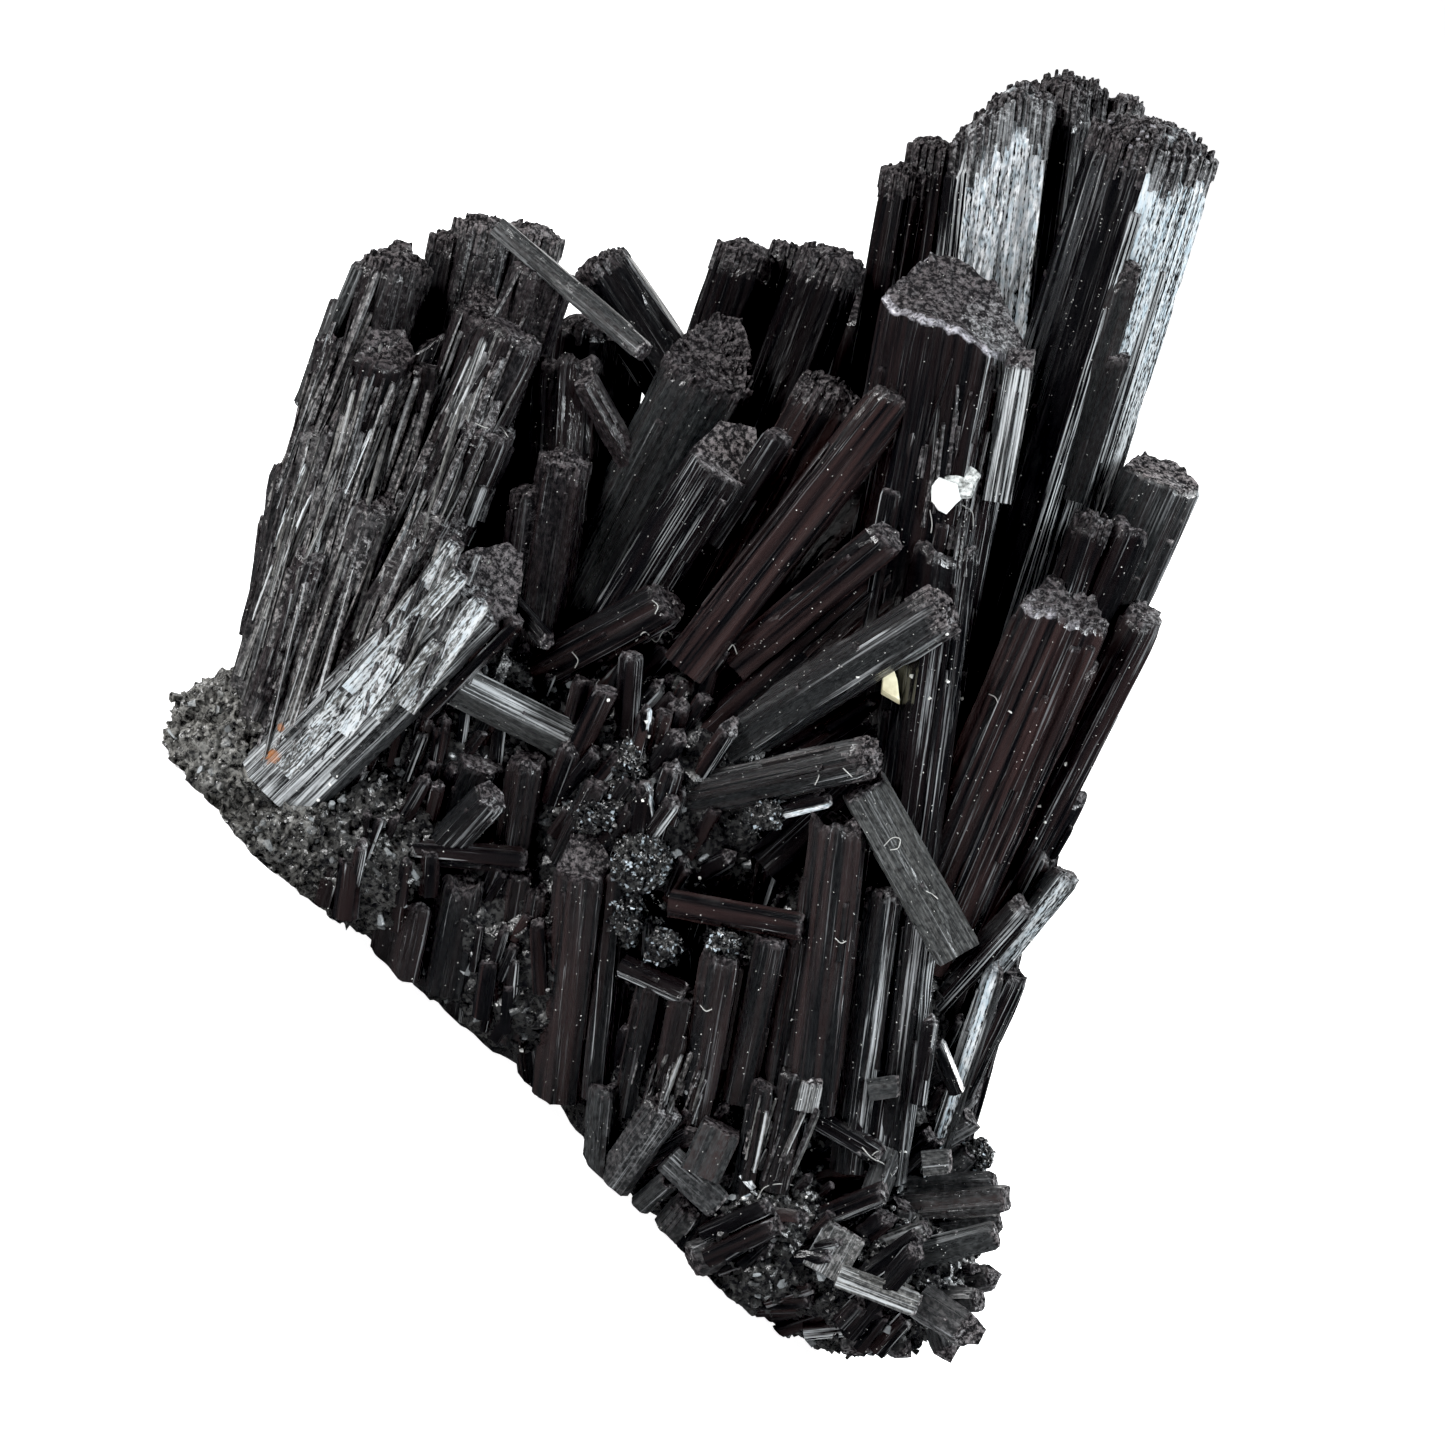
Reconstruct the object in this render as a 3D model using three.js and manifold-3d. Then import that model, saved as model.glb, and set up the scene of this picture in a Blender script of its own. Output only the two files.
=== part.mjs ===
// A cluster of black tourmaline (schorl) crystals, grown together from one granular root and
// standing on the flat break of that root. Millimetres, +Z up, origin under the middle of the outline.
import * as THREE from 'three';
import { mergeVertices } from 'three/addons/utils/BufferGeometryUtils.js';
import Module from 'manifold-3d';

// How the photograph shows the cluster: its scale, and the way it is held before the lens.
const MM_PER_PIXEL = 0.065;
const PICTURE_CENTRE = 722.5;
const VIEW_DISTANCE = 400;
const VIEW_ROLL = THREE.MathUtils.degToRad(43.4);
const VIEW_ELEVATION = THREE.MathUtils.degToRad(12);
// A place on the edge of the base: pixel, pixel, millimetres behind the picture plane.
const BASE_EDGE = [489, 1029, 0];
// From there to the middle of the cluster's outline, along X and Y.
const TO_MIDDLE = new THREE.Vector3(-1.776, 5.479, 0);

// Shares of a crystal's width that shape its ends.
const DOME_DROP = 0.22;
const DOME_INNER = 0.66;
const SLANT_DROP = 0.55;
const PEAK_DROP = 0.42;
const BROKEN_DROP = 0.22;
const FLAT_TILT = 0.12;
// A crystal narrower than this has the plain six-sided section.
const SIX_SIDED_BELOW = 5.5;
// The share of its height by which the cluster leans towards the picture, so that it stands upright.
const FORWARD_LEAN = 0.15;
// The gap that a chip of another mineral keeps to the pocket that it sits in.
const POCKET_GAP = 0.3;

// Each crystal runs from its foot to its tip, both places in the picture with a depth in millimetres.
// wide is its breadth as seen, thick its depth, turn the way its faces point, in degrees.
const TALL_PILLARS = [
  { foot: [893, 1000, 7], tip: [1163, 121, 2], wide: 8.4, thick: 7.6, turn: 0, end: 'dome' },
  { foot: [905, 1000, 8], tip: [1008, 82, 6], wide: 6.5, thick: 6.0, turn: 12, end: 'dome' },
  { foot: [935, 1000, 10], tip: [1072, 72, 9], wide: 5.0, thick: 5.0, turn: 40, end: 'dome' },
  { foot: [800, 800, 8], tip: [912, 162, 8], wide: 3.6, thick: 4.4, turn: 25, end: 'dome' },
  { foot: [840, 800, 9], tip: [936, 136, 9], wide: 3.6, thick: 4.6, turn: -10, end: 'dome' },
  { foot: [825, 1000, 0], tip: [966, 272, -3], wide: 9.4, thick: 7.0, turn: 8, end: 'slant' },
  { foot: [862, 1140, -5], tip: [943, 536, -4], wide: 5.2, thick: 4.6, turn: 18, end: 'broken' },
  { foot: [935, 900, 6], tip: [1128, 94, 10], wide: 2.6, thick: 3.0, turn: 60, end: 'dome' },
];

const RIGHT_FAN = [
  { foot: [990, 860, 4], tip: [1166, 466, 2], wide: 5.4, thick: 5.4, turn: 6, end: 'slant' },
  { foot: [1010, 760, 1], tip: [1096, 511, -1], wide: 2.7, thick: 2.7, turn: 20, end: 'dome' },
  { foot: [915, 960, -2], tip: [1078, 576, -3], wide: 6.0, thick: 5.6, turn: 14, end: 'slant' },
  { foot: [985, 930, 1], tip: [1150, 604, 0], wide: 2.8, thick: 3.4, turn: -24, end: 'dome' },
  { foot: [960, 960, 0], tip: [1066, 780, 2], wide: 3.8, thick: 3.6, turn: 30, end: 'broken' },
  { foot: [955, 1010, 0], tip: [1042, 838, 1], wide: 3.4, thick: 3.2, turn: -16, end: 'broken' },
  { foot: [930, 1010, -3], tip: [1030, 900, -4], wide: 2.0, thick: 2.0, turn: 15, end: 'broken' },
  { foot: [950, 1110, -3], tip: [999, 958, -4], wide: 1.6, thick: 1.9, turn: 0, end: 'peak' },
  { foot: [955, 1130, 1], tip: [1010, 930, 2], wide: 2.6, thick: 3.0, turn: 10, end: 'dome' },
];

const CENTRE_FAN = [
  { foot: [625, 620, 6], tip: [752, 240, 7], wide: 4.2, thick: 4.4, turn: 0, end: 'dome' },
  { foot: [690, 600, 6], tip: [788, 240, 9], wide: 2.0, thick: 2.4, turn: 30, end: 'dome' },
  { foot: [690, 640, 4], tip: [838, 246, 5], wide: 4.6, thick: 4.8, turn: -8, end: 'dome' },
  { foot: [570, 640, 3], tip: [735, 324, -1], wide: 6.1, thick: 5.6, turn: 10, end: 'slant' },
  { foot: [680, 660, 0], tip: [838, 378, -2], wide: 4.2, thick: 4.0, turn: 22, end: 'dome' },
  { foot: [600, 665, -1], tip: [744, 432, -6], wide: 4.7, thick: 4.2, turn: 12, end: 'slant' },
  { foot: [684, 670, -6], tip: [904, 386, -5], wide: 3.3, thick: 2.8, turn: 5, end: 'dome' },
  { foot: [735, 664, -5], tip: [896, 530, -7], wide: 2.6, thick: 2.4, turn: 20, end: 'dome' },
  { foot: [738, 762, -5], tip: [965, 603, -8], wide: 3.6, thick: 3.2, turn: 0, end: 'dome' },
  { foot: [684, 798, -6], tip: [880, 755, -10], wide: 2.9, thick: 2.8, turn: 12, end: 'dome' },
  { foot: [541, 672, -3], tip: [678, 597, -6], wide: 3.3, thick: 3.0, turn: 6, end: 'dome' },
  { foot: [880, 590, -4], tip: [914, 424, -5], wide: 2.3, thick: 2.2, turn: 28, end: 'flat' },
  { foot: [690, 720, -2], tip: [872, 462, -2], wide: 5.0, thick: 4.6, turn: 14, end: 'broken' },
  { foot: [700, 750, -4], tip: [910, 560, -3], wide: 5.4, thick: 4.6, turn: 0, end: 'broken' },
  { foot: [730, 790, -4], tip: [930, 665, -2], wide: 5.2, thick: 5.0, turn: 26, end: 'broken' },
  { foot: [760, 860, -4], tip: [905, 730, -3], wide: 5.0, thick: 4.6, turn: 10, end: 'broken' },
];

const LEFT_FAN = [
  { foot: [286, 700, 2], tip: [402, 250, 2], wide: 4.5, thick: 4.4, turn: 24, end: 'dome' },
  { foot: [345, 420, 4], tip: [402, 240, 4], wide: 2.6, thick: 3.0, turn: 0, end: 'slant' },
  { foot: [276, 715, -2], tip: [395, 326, -3], wide: 3.9, thick: 3.8, turn: 12, end: 'slant' },
  { foot: [400, 560, 2], tip: [486, 284, 1], wide: 3.0, thick: 3.2, turn: 4, end: 'slant' },
  { foot: [432, 600, 1], tip: [546, 262, 0], wide: 4.4, thick: 4.4, turn: 8, end: 'flat' },
  { foot: [400, 580, -3], tip: [521, 318, -4], wide: 4.2, thick: 3.8, turn: 16, end: 'dome' },
  { foot: [400, 600, 5], tip: [490, 214, 6], wide: 4.0, thick: 4.4, turn: 0, end: 'dome' },
  { foot: [440, 600, 6], tip: [536, 226, 7], wide: 3.6, thick: 4.0, turn: 20, end: 'dome' },
  { foot: [380, 600, 5], tip: [452, 230, 6], wide: 2.8, thick: 3.4, turn: 42, end: 'dome' },
  { foot: [710, 440, 6], tip: [592, 256, 6], wide: 4.2, thick: 3.6, turn: 10, end: 'dome' },
  { foot: [560, 520, -1], tip: [570, 350, 0], wide: 4.6, thick: 4.0, turn: 14, end: 'broken' },
  { foot: [640, 478, -1], tip: [577, 366, -2], wide: 1.8, thick: 1.8, turn: 8, end: 'slant' },
  { foot: [535, 640, -2], tip: [566, 450, -4], wide: 3.6, thick: 3.4, turn: 0, end: 'dome' },
  { foot: [515, 600, -3], tip: [531, 484, -4], wide: 2.4, thick: 2.4, turn: 20, end: 'dome' },
  { foot: [420, 590, -3], tip: [492, 421, -5], wide: 3.7, thick: 3.4, turn: 14, end: 'flat' },
  { foot: [250, 705, 1], tip: [292, 458, 2], wide: 2.6, thick: 4.4, turn: 0, end: 'broken' },
  { foot: [246, 715, -3], tip: [330, 420, -1], wide: 3.0, thick: 3.4, turn: 30, end: 'broken' },
  { foot: [256, 735, -5], tip: [350, 470, -4], wide: 2.9, thick: 2.8, turn: 12, end: 'broken' },
  { foot: [278, 745, -6], tip: [386, 484, -5], wide: 3.0, thick: 2.8, turn: 0, end: 'slant' },
  { foot: [318, 730, -6], tip: [462, 492, -6], wide: 3.2, thick: 2.8, turn: 22, end: 'slant' },
  { foot: [268, 700, -6], tip: [318, 545, -6], wide: 2.4, thick: 2.0, turn: 8, end: 'broken' },
  { foot: [258, 700, 2], tip: [282, 508, 3], wide: 2.8, thick: 3.4, turn: 16, end: 'broken' },
  { foot: [330, 640, 3], tip: [446, 330, 4], wide: 5.6, thick: 5.0, turn: 0, end: 'broken' },
  { foot: [280, 790, -6], tip: [503, 568, -9], wide: 5.6, thick: 5.2, turn: 10, end: 'flat' },
];

// Flat laths and slivers that grew across their neighbours.
const CROSSING_LATHS = [
  { foot: [305, 402, 3], tip: [366, 266, 2], wide: 1.2, thick: 2.6, turn: 0, end: 'flat' },
  { foot: [500, 228, 0], tip: [646, 354, -3], wide: 1.5, thick: 2.2, turn: 0, end: 'flat' },
  { foot: [958, 952, -5], tip: [862, 783, -9], wide: 2.6, thick: 1.7, turn: 0, end: 'flat' },
  { foot: [615, 764, -5], tip: [452, 683, -8], wide: 2.7, thick: 1.8, turn: 0, end: 'flat' },
  { foot: [338, 843, -8], tip: [528, 860, -8], wide: 1.6, thick: 1.6, turn: 0, end: 'flat' },
  { foot: [670, 890, -5], tip: [738, 852, -7], wide: 1.5, thick: 1.4, turn: 0, end: 'peak' },
  { foot: [800, 1108, -7], tip: [884, 1158, -7], wide: 1.7, thick: 1.6, turn: 0, end: 'flat' },
];

const BASE_PRISMS = [
  { foot: [381, 966, -5], tip: [392, 898, -6], wide: 1.8, thick: 2.4, turn: 0, end: 'flat' },
  { foot: [404, 976, -6], tip: [421, 896, -7], wide: 2.3, thick: 2.4, turn: 12, end: 'broken' },
  { foot: [445, 988, -5], tip: [468, 868, -7], wide: 3.4, thick: 3.2, turn: 5, end: 'broken' },
  { foot: [496, 1016, -4], tip: [521, 862, -7], wide: 2.3, thick: 2.6, turn: 10, end: 'broken' },
  { foot: [560, 1094, -4], tip: [586, 838, -9], wide: 3.7, thick: 3.4, turn: 6, end: 'slant' },
  { foot: [626, 1112, -6], tip: [654, 978, -8], wide: 2.1, thick: 2.2, turn: 0, end: 'flat' },
  { foot: [694, 1120, -7], tip: [726, 940, -9], wide: 2.9, thick: 2.8, turn: 8, end: 'dome' },
  { foot: [738, 1100, -7], tip: [773, 934, -9], wide: 2.3, thick: 2.2, turn: 0, end: 'flat' },
  { foot: [772, 1100, -7], tip: [801, 930, -8], wide: 1.7, thick: 2.0, turn: 20, end: 'flat' },
  { foot: [808, 1110, -7], tip: [843, 812, -8], wide: 4.1, thick: 3.6, turn: 4, end: 'broken' },
  { foot: [848, 1170, -6], tip: [886, 880, -7], wide: 2.6, thick: 2.6, turn: 15, end: 'broken' },
  { foot: [774, 1190, -8], tip: [800, 1066, -8], wide: 2.4, thick: 2.2, turn: 12, end: 'broken' },
  { foot: [884, 1180, -5], tip: [918, 905, -6], wide: 3.0, thick: 2.8, turn: 0, end: 'broken' },
  { foot: [492, 990, -5], tip: [530, 748, -7], wide: 2.7, thick: 2.6, turn: 6, end: 'dome' },
  { foot: [450, 838, -4], tip: [484, 757, -7], wide: 3.2, thick: 2.8, turn: 0, end: 'flat' },
  { foot: [440, 852, -7], tip: [494, 794, -10], wide: 2.6, thick: 2.2, turn: 10, end: 'flat' },
];

// Small stubs that lie every way on the granular corner.
const CORNER_JUMBLE = [
  { foot: [594, 1190, -7], tip: [604, 1080, -7], wide: 2.0, thick: 2.4, turn: 0, end: 'broken' },
  { foot: [605, 1192, -7], tip: [668, 1104, -9], wide: 2.7, thick: 2.4, turn: 10, end: 'flat' },
  { foot: [724, 1184, -5], tip: [668, 1152, -8], wide: 2.0, thick: 1.8, turn: 0, end: 'flat' },
  { foot: [668, 1236, -6], tip: [700, 1196, -8], wide: 2.8, thick: 2.4, turn: 0, end: 'dome' },
  { foot: [800, 1112, -7], tip: [814, 1066, -9], wide: 1.6, thick: 1.3, turn: 0, end: 'slant' },
  { foot: [812, 1262, -6], tip: [850, 1228, -9], wide: 2.6, thick: 2.4, turn: 0, end: 'flat' },
  { foot: [838, 1276, -6], tip: [922, 1312, -8], wide: 1.6, thick: 1.5, turn: 0, end: 'flat' },
  { foot: [860, 1266, -5], tip: [1000, 1236, -6], wide: 1.9, thick: 1.8, turn: 0, end: 'flat' },
  { foot: [890, 1236, -4], tip: [1003, 1222, -4], wide: 1.5, thick: 1.6, turn: 12, end: 'flat' },
  { foot: [885, 1212, -3], tip: [1010, 1200, -4], wide: 1.8, thick: 1.8, turn: 0, end: 'flat' },
  { foot: [915, 1200, -2], tip: [978, 1148, -2], wide: 1.9, thick: 1.9, turn: 0, end: 'dome' },
  { foot: [915, 1150, -1], tip: [980, 1082, -1], wide: 1.6, thick: 1.7, turn: 0, end: 'slant' },
  { foot: [900, 1160, -2], tip: [976, 1116, -2], wide: 1.8, thick: 1.7, turn: 20, end: 'broken' },
  { foot: [930, 1290, -3], tip: [1003, 1274, -4], wide: 1.8, thick: 1.8, turn: 0, end: 'peak' },
  { foot: [900, 1300, -5], tip: [985, 1300, -6], wide: 1.7, thick: 1.7, turn: 15, end: 'dome' },
  { foot: [920, 1300, -7], tip: [982, 1340, -8], wide: 2.5, thick: 2.2, turn: 0, end: 'slant' },
  { foot: [935, 1310, -4], tip: [951, 1364, -5], wide: 2.0, thick: 2.0, turn: 0, end: 'peak' },
  { foot: [870, 1320, -5], tip: [912, 1358, -5], wide: 1.8, thick: 1.8, turn: 0, end: 'peak' },
  { foot: [850, 1310, -5], tip: [858, 1358, -6], wide: 2.0, thick: 2.0, turn: 20, end: 'dome' },
  { foot: [720, 1250, -8], tip: [688, 1262, -9], wide: 2.4, thick: 2.0, turn: 0, end: 'flat' },
];

// The far side, which leans away from the picture and stays hidden in it.
const FAR_SIDE = [
  { foot: [300, 740, 6], tip: [372, 400, 10], wide: 4.8, thick: 4.4, turn: 10, end: 'dome' },
  { foot: [370, 740, 8], tip: [478, 300, 11], wide: 5.0, thick: 4.6, turn: 0, end: 'slant' },
  { foot: [430, 760, 9], tip: [560, 360, 13], wide: 5.4, thick: 5.0, turn: 8, end: 'dome' },
  { foot: [550, 700, 6], tip: [604, 312, 7], wide: 6.4, thick: 5.0, turn: 20, end: 'dome' },
  { foot: [540, 800, 9], tip: [700, 420, 13], wide: 5.6, thick: 5.0, turn: 18, end: 'dome' },
  { foot: [640, 830, 9], tip: [800, 320, 12], wide: 5.6, thick: 5.2, turn: 5, end: 'dome' },
  { foot: [740, 880, 9], tip: [900, 270, 13], wide: 6.4, thick: 5.8, turn: 30, end: 'slant' },
  { foot: [800, 930, 10], tip: [1000, 200, 14], wide: 6.4, thick: 6.0, turn: 12, end: 'dome' },
  { foot: [880, 1020, 8], tip: [1106, 520, 10], wide: 5.4, thick: 5.0, turn: 4, end: 'flat' },
  { foot: [880, 1090, 6], tip: [1050, 780, 9], wide: 5.0, thick: 4.6, turn: 16, end: 'dome' },
  { foot: [880, 1200, 4], tip: [966, 1040, 7], wide: 4.2, thick: 4.0, turn: 6, end: 'dome' },
  { foot: [380, 850, 8], tip: [440, 600, 15], wide: 5.0, thick: 4.6, turn: 12, end: 'broken' },
  { foot: [500, 900, 10], tip: [590, 600, 17], wide: 5.4, thick: 5.0, turn: 0, end: 'dome' },
  { foot: [600, 970, 10], tip: [730, 620, 17], wide: 5.6, thick: 5.2, turn: 24, end: 'slant' },
  { foot: [770, 1100, 9], tip: [930, 740, 15], wide: 6.2, thick: 4.8, turn: 0, end: 'flat' },
  { foot: [800, 1200, 8], tip: [880, 1000, 14], wide: 4.8, thick: 4.4, turn: 16, end: 'dome' },
  { foot: [560, 1000, 10], tip: [650, 800, 17], wide: 5.0, thick: 4.6, turn: 4, end: 'dome' },
  { foot: [690, 1110, 9], tip: [780, 900, 16], wide: 4.6, thick: 4.2, turn: 14, end: 'slant' },
];

// The granular mass that the crystals grew from: at in the picture, size the half extents across,
// up and away in millimetres, grain the height of its bumps.
const ROOT_LUMPS = [
  { at: [240, 758, 1], size: [5.2, 5.6, 8.6], grain: 0.16, detail: 2 },
  { at: [304, 830, 0], size: [6.4, 6.2, 9.0], grain: 0.14, detail: 2 },
  { at: [376, 846, -1], size: [7.2, 6.4, 8.4], grain: 0.12, detail: 1 },
  { at: [560, 920, 2], size: [12, 10, 9.6], grain: 0.08, detail: 1 },
  { at: [690, 1095, 2], size: [8.6, 10.5, 9.6], grain: 0.06, detail: 1 },
  { at: [770, 1220, -1], size: [6.4, 6.8, 8.4], grain: 0.1, detail: 1 },
  { at: [868, 1262, -2], size: [6.8, 5.8, 6.4], grain: 0.1, detail: 1 },
  { at: [470, 730, 3], size: [10.5, 9.5, 9.6], grain: 0.04, detail: 1 },
  { at: [670, 780, 3], size: [13, 11, 10.5], grain: 0.04, detail: 1 },
  { at: [845, 990, 3], size: [8.8, 15.5, 9.6], grain: 0.04, detail: 1 },
];

// Rounded drusy heads of crystals that point at the viewer.
const DRUSY_KNOBS = [
  { at: [640, 862, -7.4], size: [1.9, 2.1, 2.2], grain: 0.2, detail: 1 },
  { at: [604, 812, -6.6], size: [2.4, 1.9, 2.0], grain: 0.2, detail: 0 },
  { at: [624, 916, -7], size: [1.4, 2.0, 1.8], grain: 0.2, detail: 0 },
  { at: [632, 764, -6.6], size: [1.6, 2.0, 1.8], grain: 0.2, detail: 0 },
];

const SCHORL = new THREE.MeshStandardMaterial({ color: 0x0b0b0d, roughness: 0.32, metalness: 0 });
const MICA = new THREE.MeshStandardMaterial({ color: 0xe9ecec, roughness: 0.3, metalness: 0 });
const FELDSPAR = new THREE.MeshStandardMaterial({ color: 0xcfc58f, roughness: 0.5, metalness: 0 });

const wasm = await Module();
wasm.setup();

const along = new THREE.Vector3(1, 0, 0);
const rise = new THREE.Vector3(0, Math.sin(VIEW_ELEVATION), Math.cos(VIEW_ELEVATION));
const viewAway = new THREE.Vector3(0, Math.cos(VIEW_ELEVATION), -Math.sin(VIEW_ELEVATION));
const viewRight = combine(along, Math.cos(VIEW_ROLL), rise, Math.sin(VIEW_ROLL));
const viewUp = combine(along, -Math.sin(VIEW_ROLL), rise, Math.cos(VIEW_ROLL));

function combine(a, shareA, b, shareB) {
  return a.clone().multiplyScalar(shareA).addScaledVector(b, shareB);
}

// How far a pixel of the picture lies above the base, as seen.
function heightAt(across, down) {
  const right = across - BASE_EDGE[0];
  const up = BASE_EDGE[1] - down;
  return (right * Math.sin(VIEW_ROLL) + up * Math.cos(VIEW_ROLL)) * MM_PER_PIXEL;
}

// The point at a pixel of the picture, that many millimetres behind the cluster's middle plane.
function seen([across, down, behind]) {
  const depth = behind - FORWARD_LEAN * heightAt(across, down);
  const scale = MM_PER_PIXEL * (VIEW_DISTANCE + depth) / VIEW_DISTANCE;
  return new THREE.Vector3()
    .addScaledVector(viewRight, (across - PICTURE_CENTRE) * scale)
    .addScaledVector(viewUp, (PICTURE_CENTRE - down) * scale)
    .addScaledVector(viewAway, depth);
}

const origin = seen(BASE_EDGE).add(TO_MIDDLE);

function place(spot) {
  return seen(spot).sub(origin);
}

// A repeatable number from 0 to 1 for each seed and step.
function chance(seed, step) {
  const wave = Math.sin(seed * 127.1 + step * 311.7) * 43758.5453;
  return wave - Math.floor(wave);
}

// The outline of a schorl prism: three broad faces, each a little bowed, with their corners cut off.
function prismOutline(seed, turn) {
  const points = [];
  for (let face = 0; face < 3; face += 1) {
    const middle = face * 120 + turn;
    const cut = 10 + 8 * chance(seed, face);
    const bow = 0.74 + 0.12 * chance(seed, face + 3);
    points.push([middle, bow], [middle + 60 - cut, 1], [middle + 60 + cut, 1]);
  }
  return points.map(([angle, reach]) => pointAt(angle, reach));
}

// The outline of a lath or stub: a flattened hexagon with a broad face to the front.
function lathOutline(seed, turn) {
  const points = [];
  for (let corner = 0; corner < 6; corner += 1) {
    points.push(pointAt(corner * 60 + 30 + turn + 8 * chance(seed, corner), 1));
  }
  return points;
}

function pointAt(angle, reach) {
  const a = THREE.MathUtils.degToRad(angle);
  return [Math.sin(a) * reach, Math.cos(a) * reach];
}

// Scales an outline so that it is just as wide and as thick as the crystal.
function fit(outline, wide, thick) {
  const spans = [0, 1].map((axis) => {
    const values = outline.map((point) => point[axis]);
    return [Math.min(...values), Math.max(...values)];
  });
  return outline.map((point) => point.map((value, axis) => {
    const [low, high] = spans[axis];
    return ((value - low) / (high - low) - 0.5) * [wide, thick][axis];
  }));
}

// How far below the tip the end of a crystal lies at x, y of its section, at reach from its middle.
function endDrop({ end, wide, thick }, seed, x, y, reach) {
  if (end === 'dome') return DOME_DROP * wide * reach ** 3;
  if (end === 'slant') return SLANT_DROP * wide * (y / thick + 0.5);
  if (end === 'peak') return PEAK_DROP * wide * reach;
  const lean = FLAT_TILT * (x * (chance(seed, 20) - 0.5) + y * chance(seed, 21));
  if (end === 'flat') return lean + FLAT_TILT * wide * 0.5;
  const notch = Math.sin(x * 2.1 + seed) * Math.cos(y * 1.7 + seed * 2);
  return BROKEN_DROP * wide * (0.5 + 0.5 * notch) + lean;
}

// One crystal as a closed geometry: a round of section corners carried from foot to tip.
function crystalGeometry(crystal, seed, isLath) {
  const { wide, thick, turn, end } = crystal;
  const sixSided = isLath || wide < SIX_SIDED_BELOW;
  const outline = fit((sixSided ? lathOutline : prismOutline)(seed, turn), wide, thick);
  const rings = end === 'dome' ? 2 : 1;
  const geometry = bare(new THREE.CylinderGeometry(1, 1, 1, outline.length, rings));
  const foot = place(crystal.foot);
  const tip = place(crystal.tip);
  const axis = tip.clone().sub(foot);
  const length = axis.length();
  axis.normalize();
  const side = new THREE.Vector3().crossVectors(viewAway, axis).normalize();
  const front = new THREE.Vector3().crossVectors(side, axis);
  const position = geometry.getAttribute('position');
  for (let i = 0; i < position.count; i += 1) {
    const level = Math.round((position.getY(i) + 0.5) * rings);
    const radius = Math.hypot(position.getX(i), position.getZ(i));
    const angle = Math.atan2(position.getX(i), position.getZ(i));
    const corner = Math.round(angle / (2 * Math.PI) * outline.length + outline.length) % outline.length;
    const reach = radius < 0.5 ? 0 : level === 2 ? DOME_INNER : 1;
    const [x, y] = outline[corner].map((value) => value * reach);
    const up = level === 0 ? 0 : length - endDrop(crystal, seed, x, y, reach);
    const point = foot.clone()
      .addScaledVector(axis, up)
      .addScaledVector(side, x)
      .addScaledVector(front, y);
    position.setXYZ(i, point.x, point.y, point.z);
  }
  return geometry;
}

// One lump of the root: a ball with a grain on it, stretched along the picture's own directions.
function lumpGeometry({ at, size, grain, detail }, seed) {
  const geometry = bare(new THREE.IcosahedronGeometry(1, detail));
  const middle = place(at);
  const position = geometry.getAttribute('position');
  for (let i = 0; i < position.count; i += 1) {
    const spot = new THREE.Vector3().fromBufferAttribute(position, i);
    const reach = 1 + grain * (chance(seed, i) - 0.6);
    const point = middle.clone()
      .addScaledVector(viewRight, spot.x * size[0] * reach)
      .addScaledVector(viewUp, spot.y * size[1] * reach)
      .addScaledVector(viewAway, -spot.z * size[2] * reach);
    position.setXYZ(i, point.x, point.y, point.z);
  }
  return geometry;
}

// A geometry with only its places, and each place once.
function bare(geometry) {
  geometry.deleteAttribute('normal');
  geometry.deleteAttribute('uv');
  return mergeVertices(geometry, 1e-4);
}

function solid(geometry) {
  return new wasm.Manifold(new wasm.Mesh({
    numProp: 3,
    vertProperties: new Float32Array(geometry.getAttribute('position').array),
    triVerts: new Uint32Array(geometry.index.array),
  }));
}

function geometryOf(made) {
  const mesh = made.getMesh();
  return new THREE.BufferGeometry()
    .setAttribute('position', new THREE.BufferAttribute(mesh.vertProperties, 3))
    .setIndex(new THREE.BufferAttribute(mesh.triVerts, 1));
}

// A thin plate of another mineral: an outline in picture millimetres, standing out of a crystal face.
function chipGeometry({ at, corners, thick, lean }, growth) {
  const shape = new THREE.Shape(corners.map(([x, y]) => {
    const reach = Math.hypot(x, y);
    return new THREE.Vector2(x, y).multiplyScalar((reach + growth) / reach);
  }));
  const geometry = bare(new THREE.ExtrudeGeometry(shape, { depth: thick + 2 * growth, bevelEnabled: false }));
  const turned = new THREE.Matrix4()
    .makeBasis(viewRight, viewUp, viewAway.clone().negate())
    .setPosition(place(at));
  geometry.translate(0, 0, -thick / 2 - growth);
  geometry.rotateX(THREE.MathUtils.degToRad(lean));
  return geometry.applyMatrix4(turned);
}

const MICA_FLAKE = {
  at: [948, 490, -5.4],
  corners: [[-1.0, 0.1], [-0.7, -0.9], [0.1, -1.3], [0.5, -0.4], [1.7, 0.2], [1.3, 1.6], [0.5, 1.6], [-0.1, 0.9]],
  thick: 0.9,
  lean: 8,
};
const FELDSPAR_CHIP = {
  at: [892, 686, -5.8],
  corners: [[-0.75, -0.5], [0.55, -1.1], [0.5, 0.3], [-0.05, 1.5]],
  thick: 1.5,
  lean: -10,
};

const grown = [
  ...[TALL_PILLARS, RIGHT_FAN, CENTRE_FAN, LEFT_FAN, BASE_PRISMS].flatMap((group, number) =>
    group.map((crystal, i) => crystalGeometry(crystal, number * 50 + i + 1, false))),
  ...[CROSSING_LATHS, CORNER_JUMBLE, FAR_SIDE].flatMap((group, number) =>
    group.map((crystal, i) => crystalGeometry(crystal, number * 50 + i + 301, true))),
  ...[...ROOT_LUMPS, ...DRUSY_KNOBS].map((lump, i) => lumpGeometry(lump, i + 1)),
].map(solid);

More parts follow.
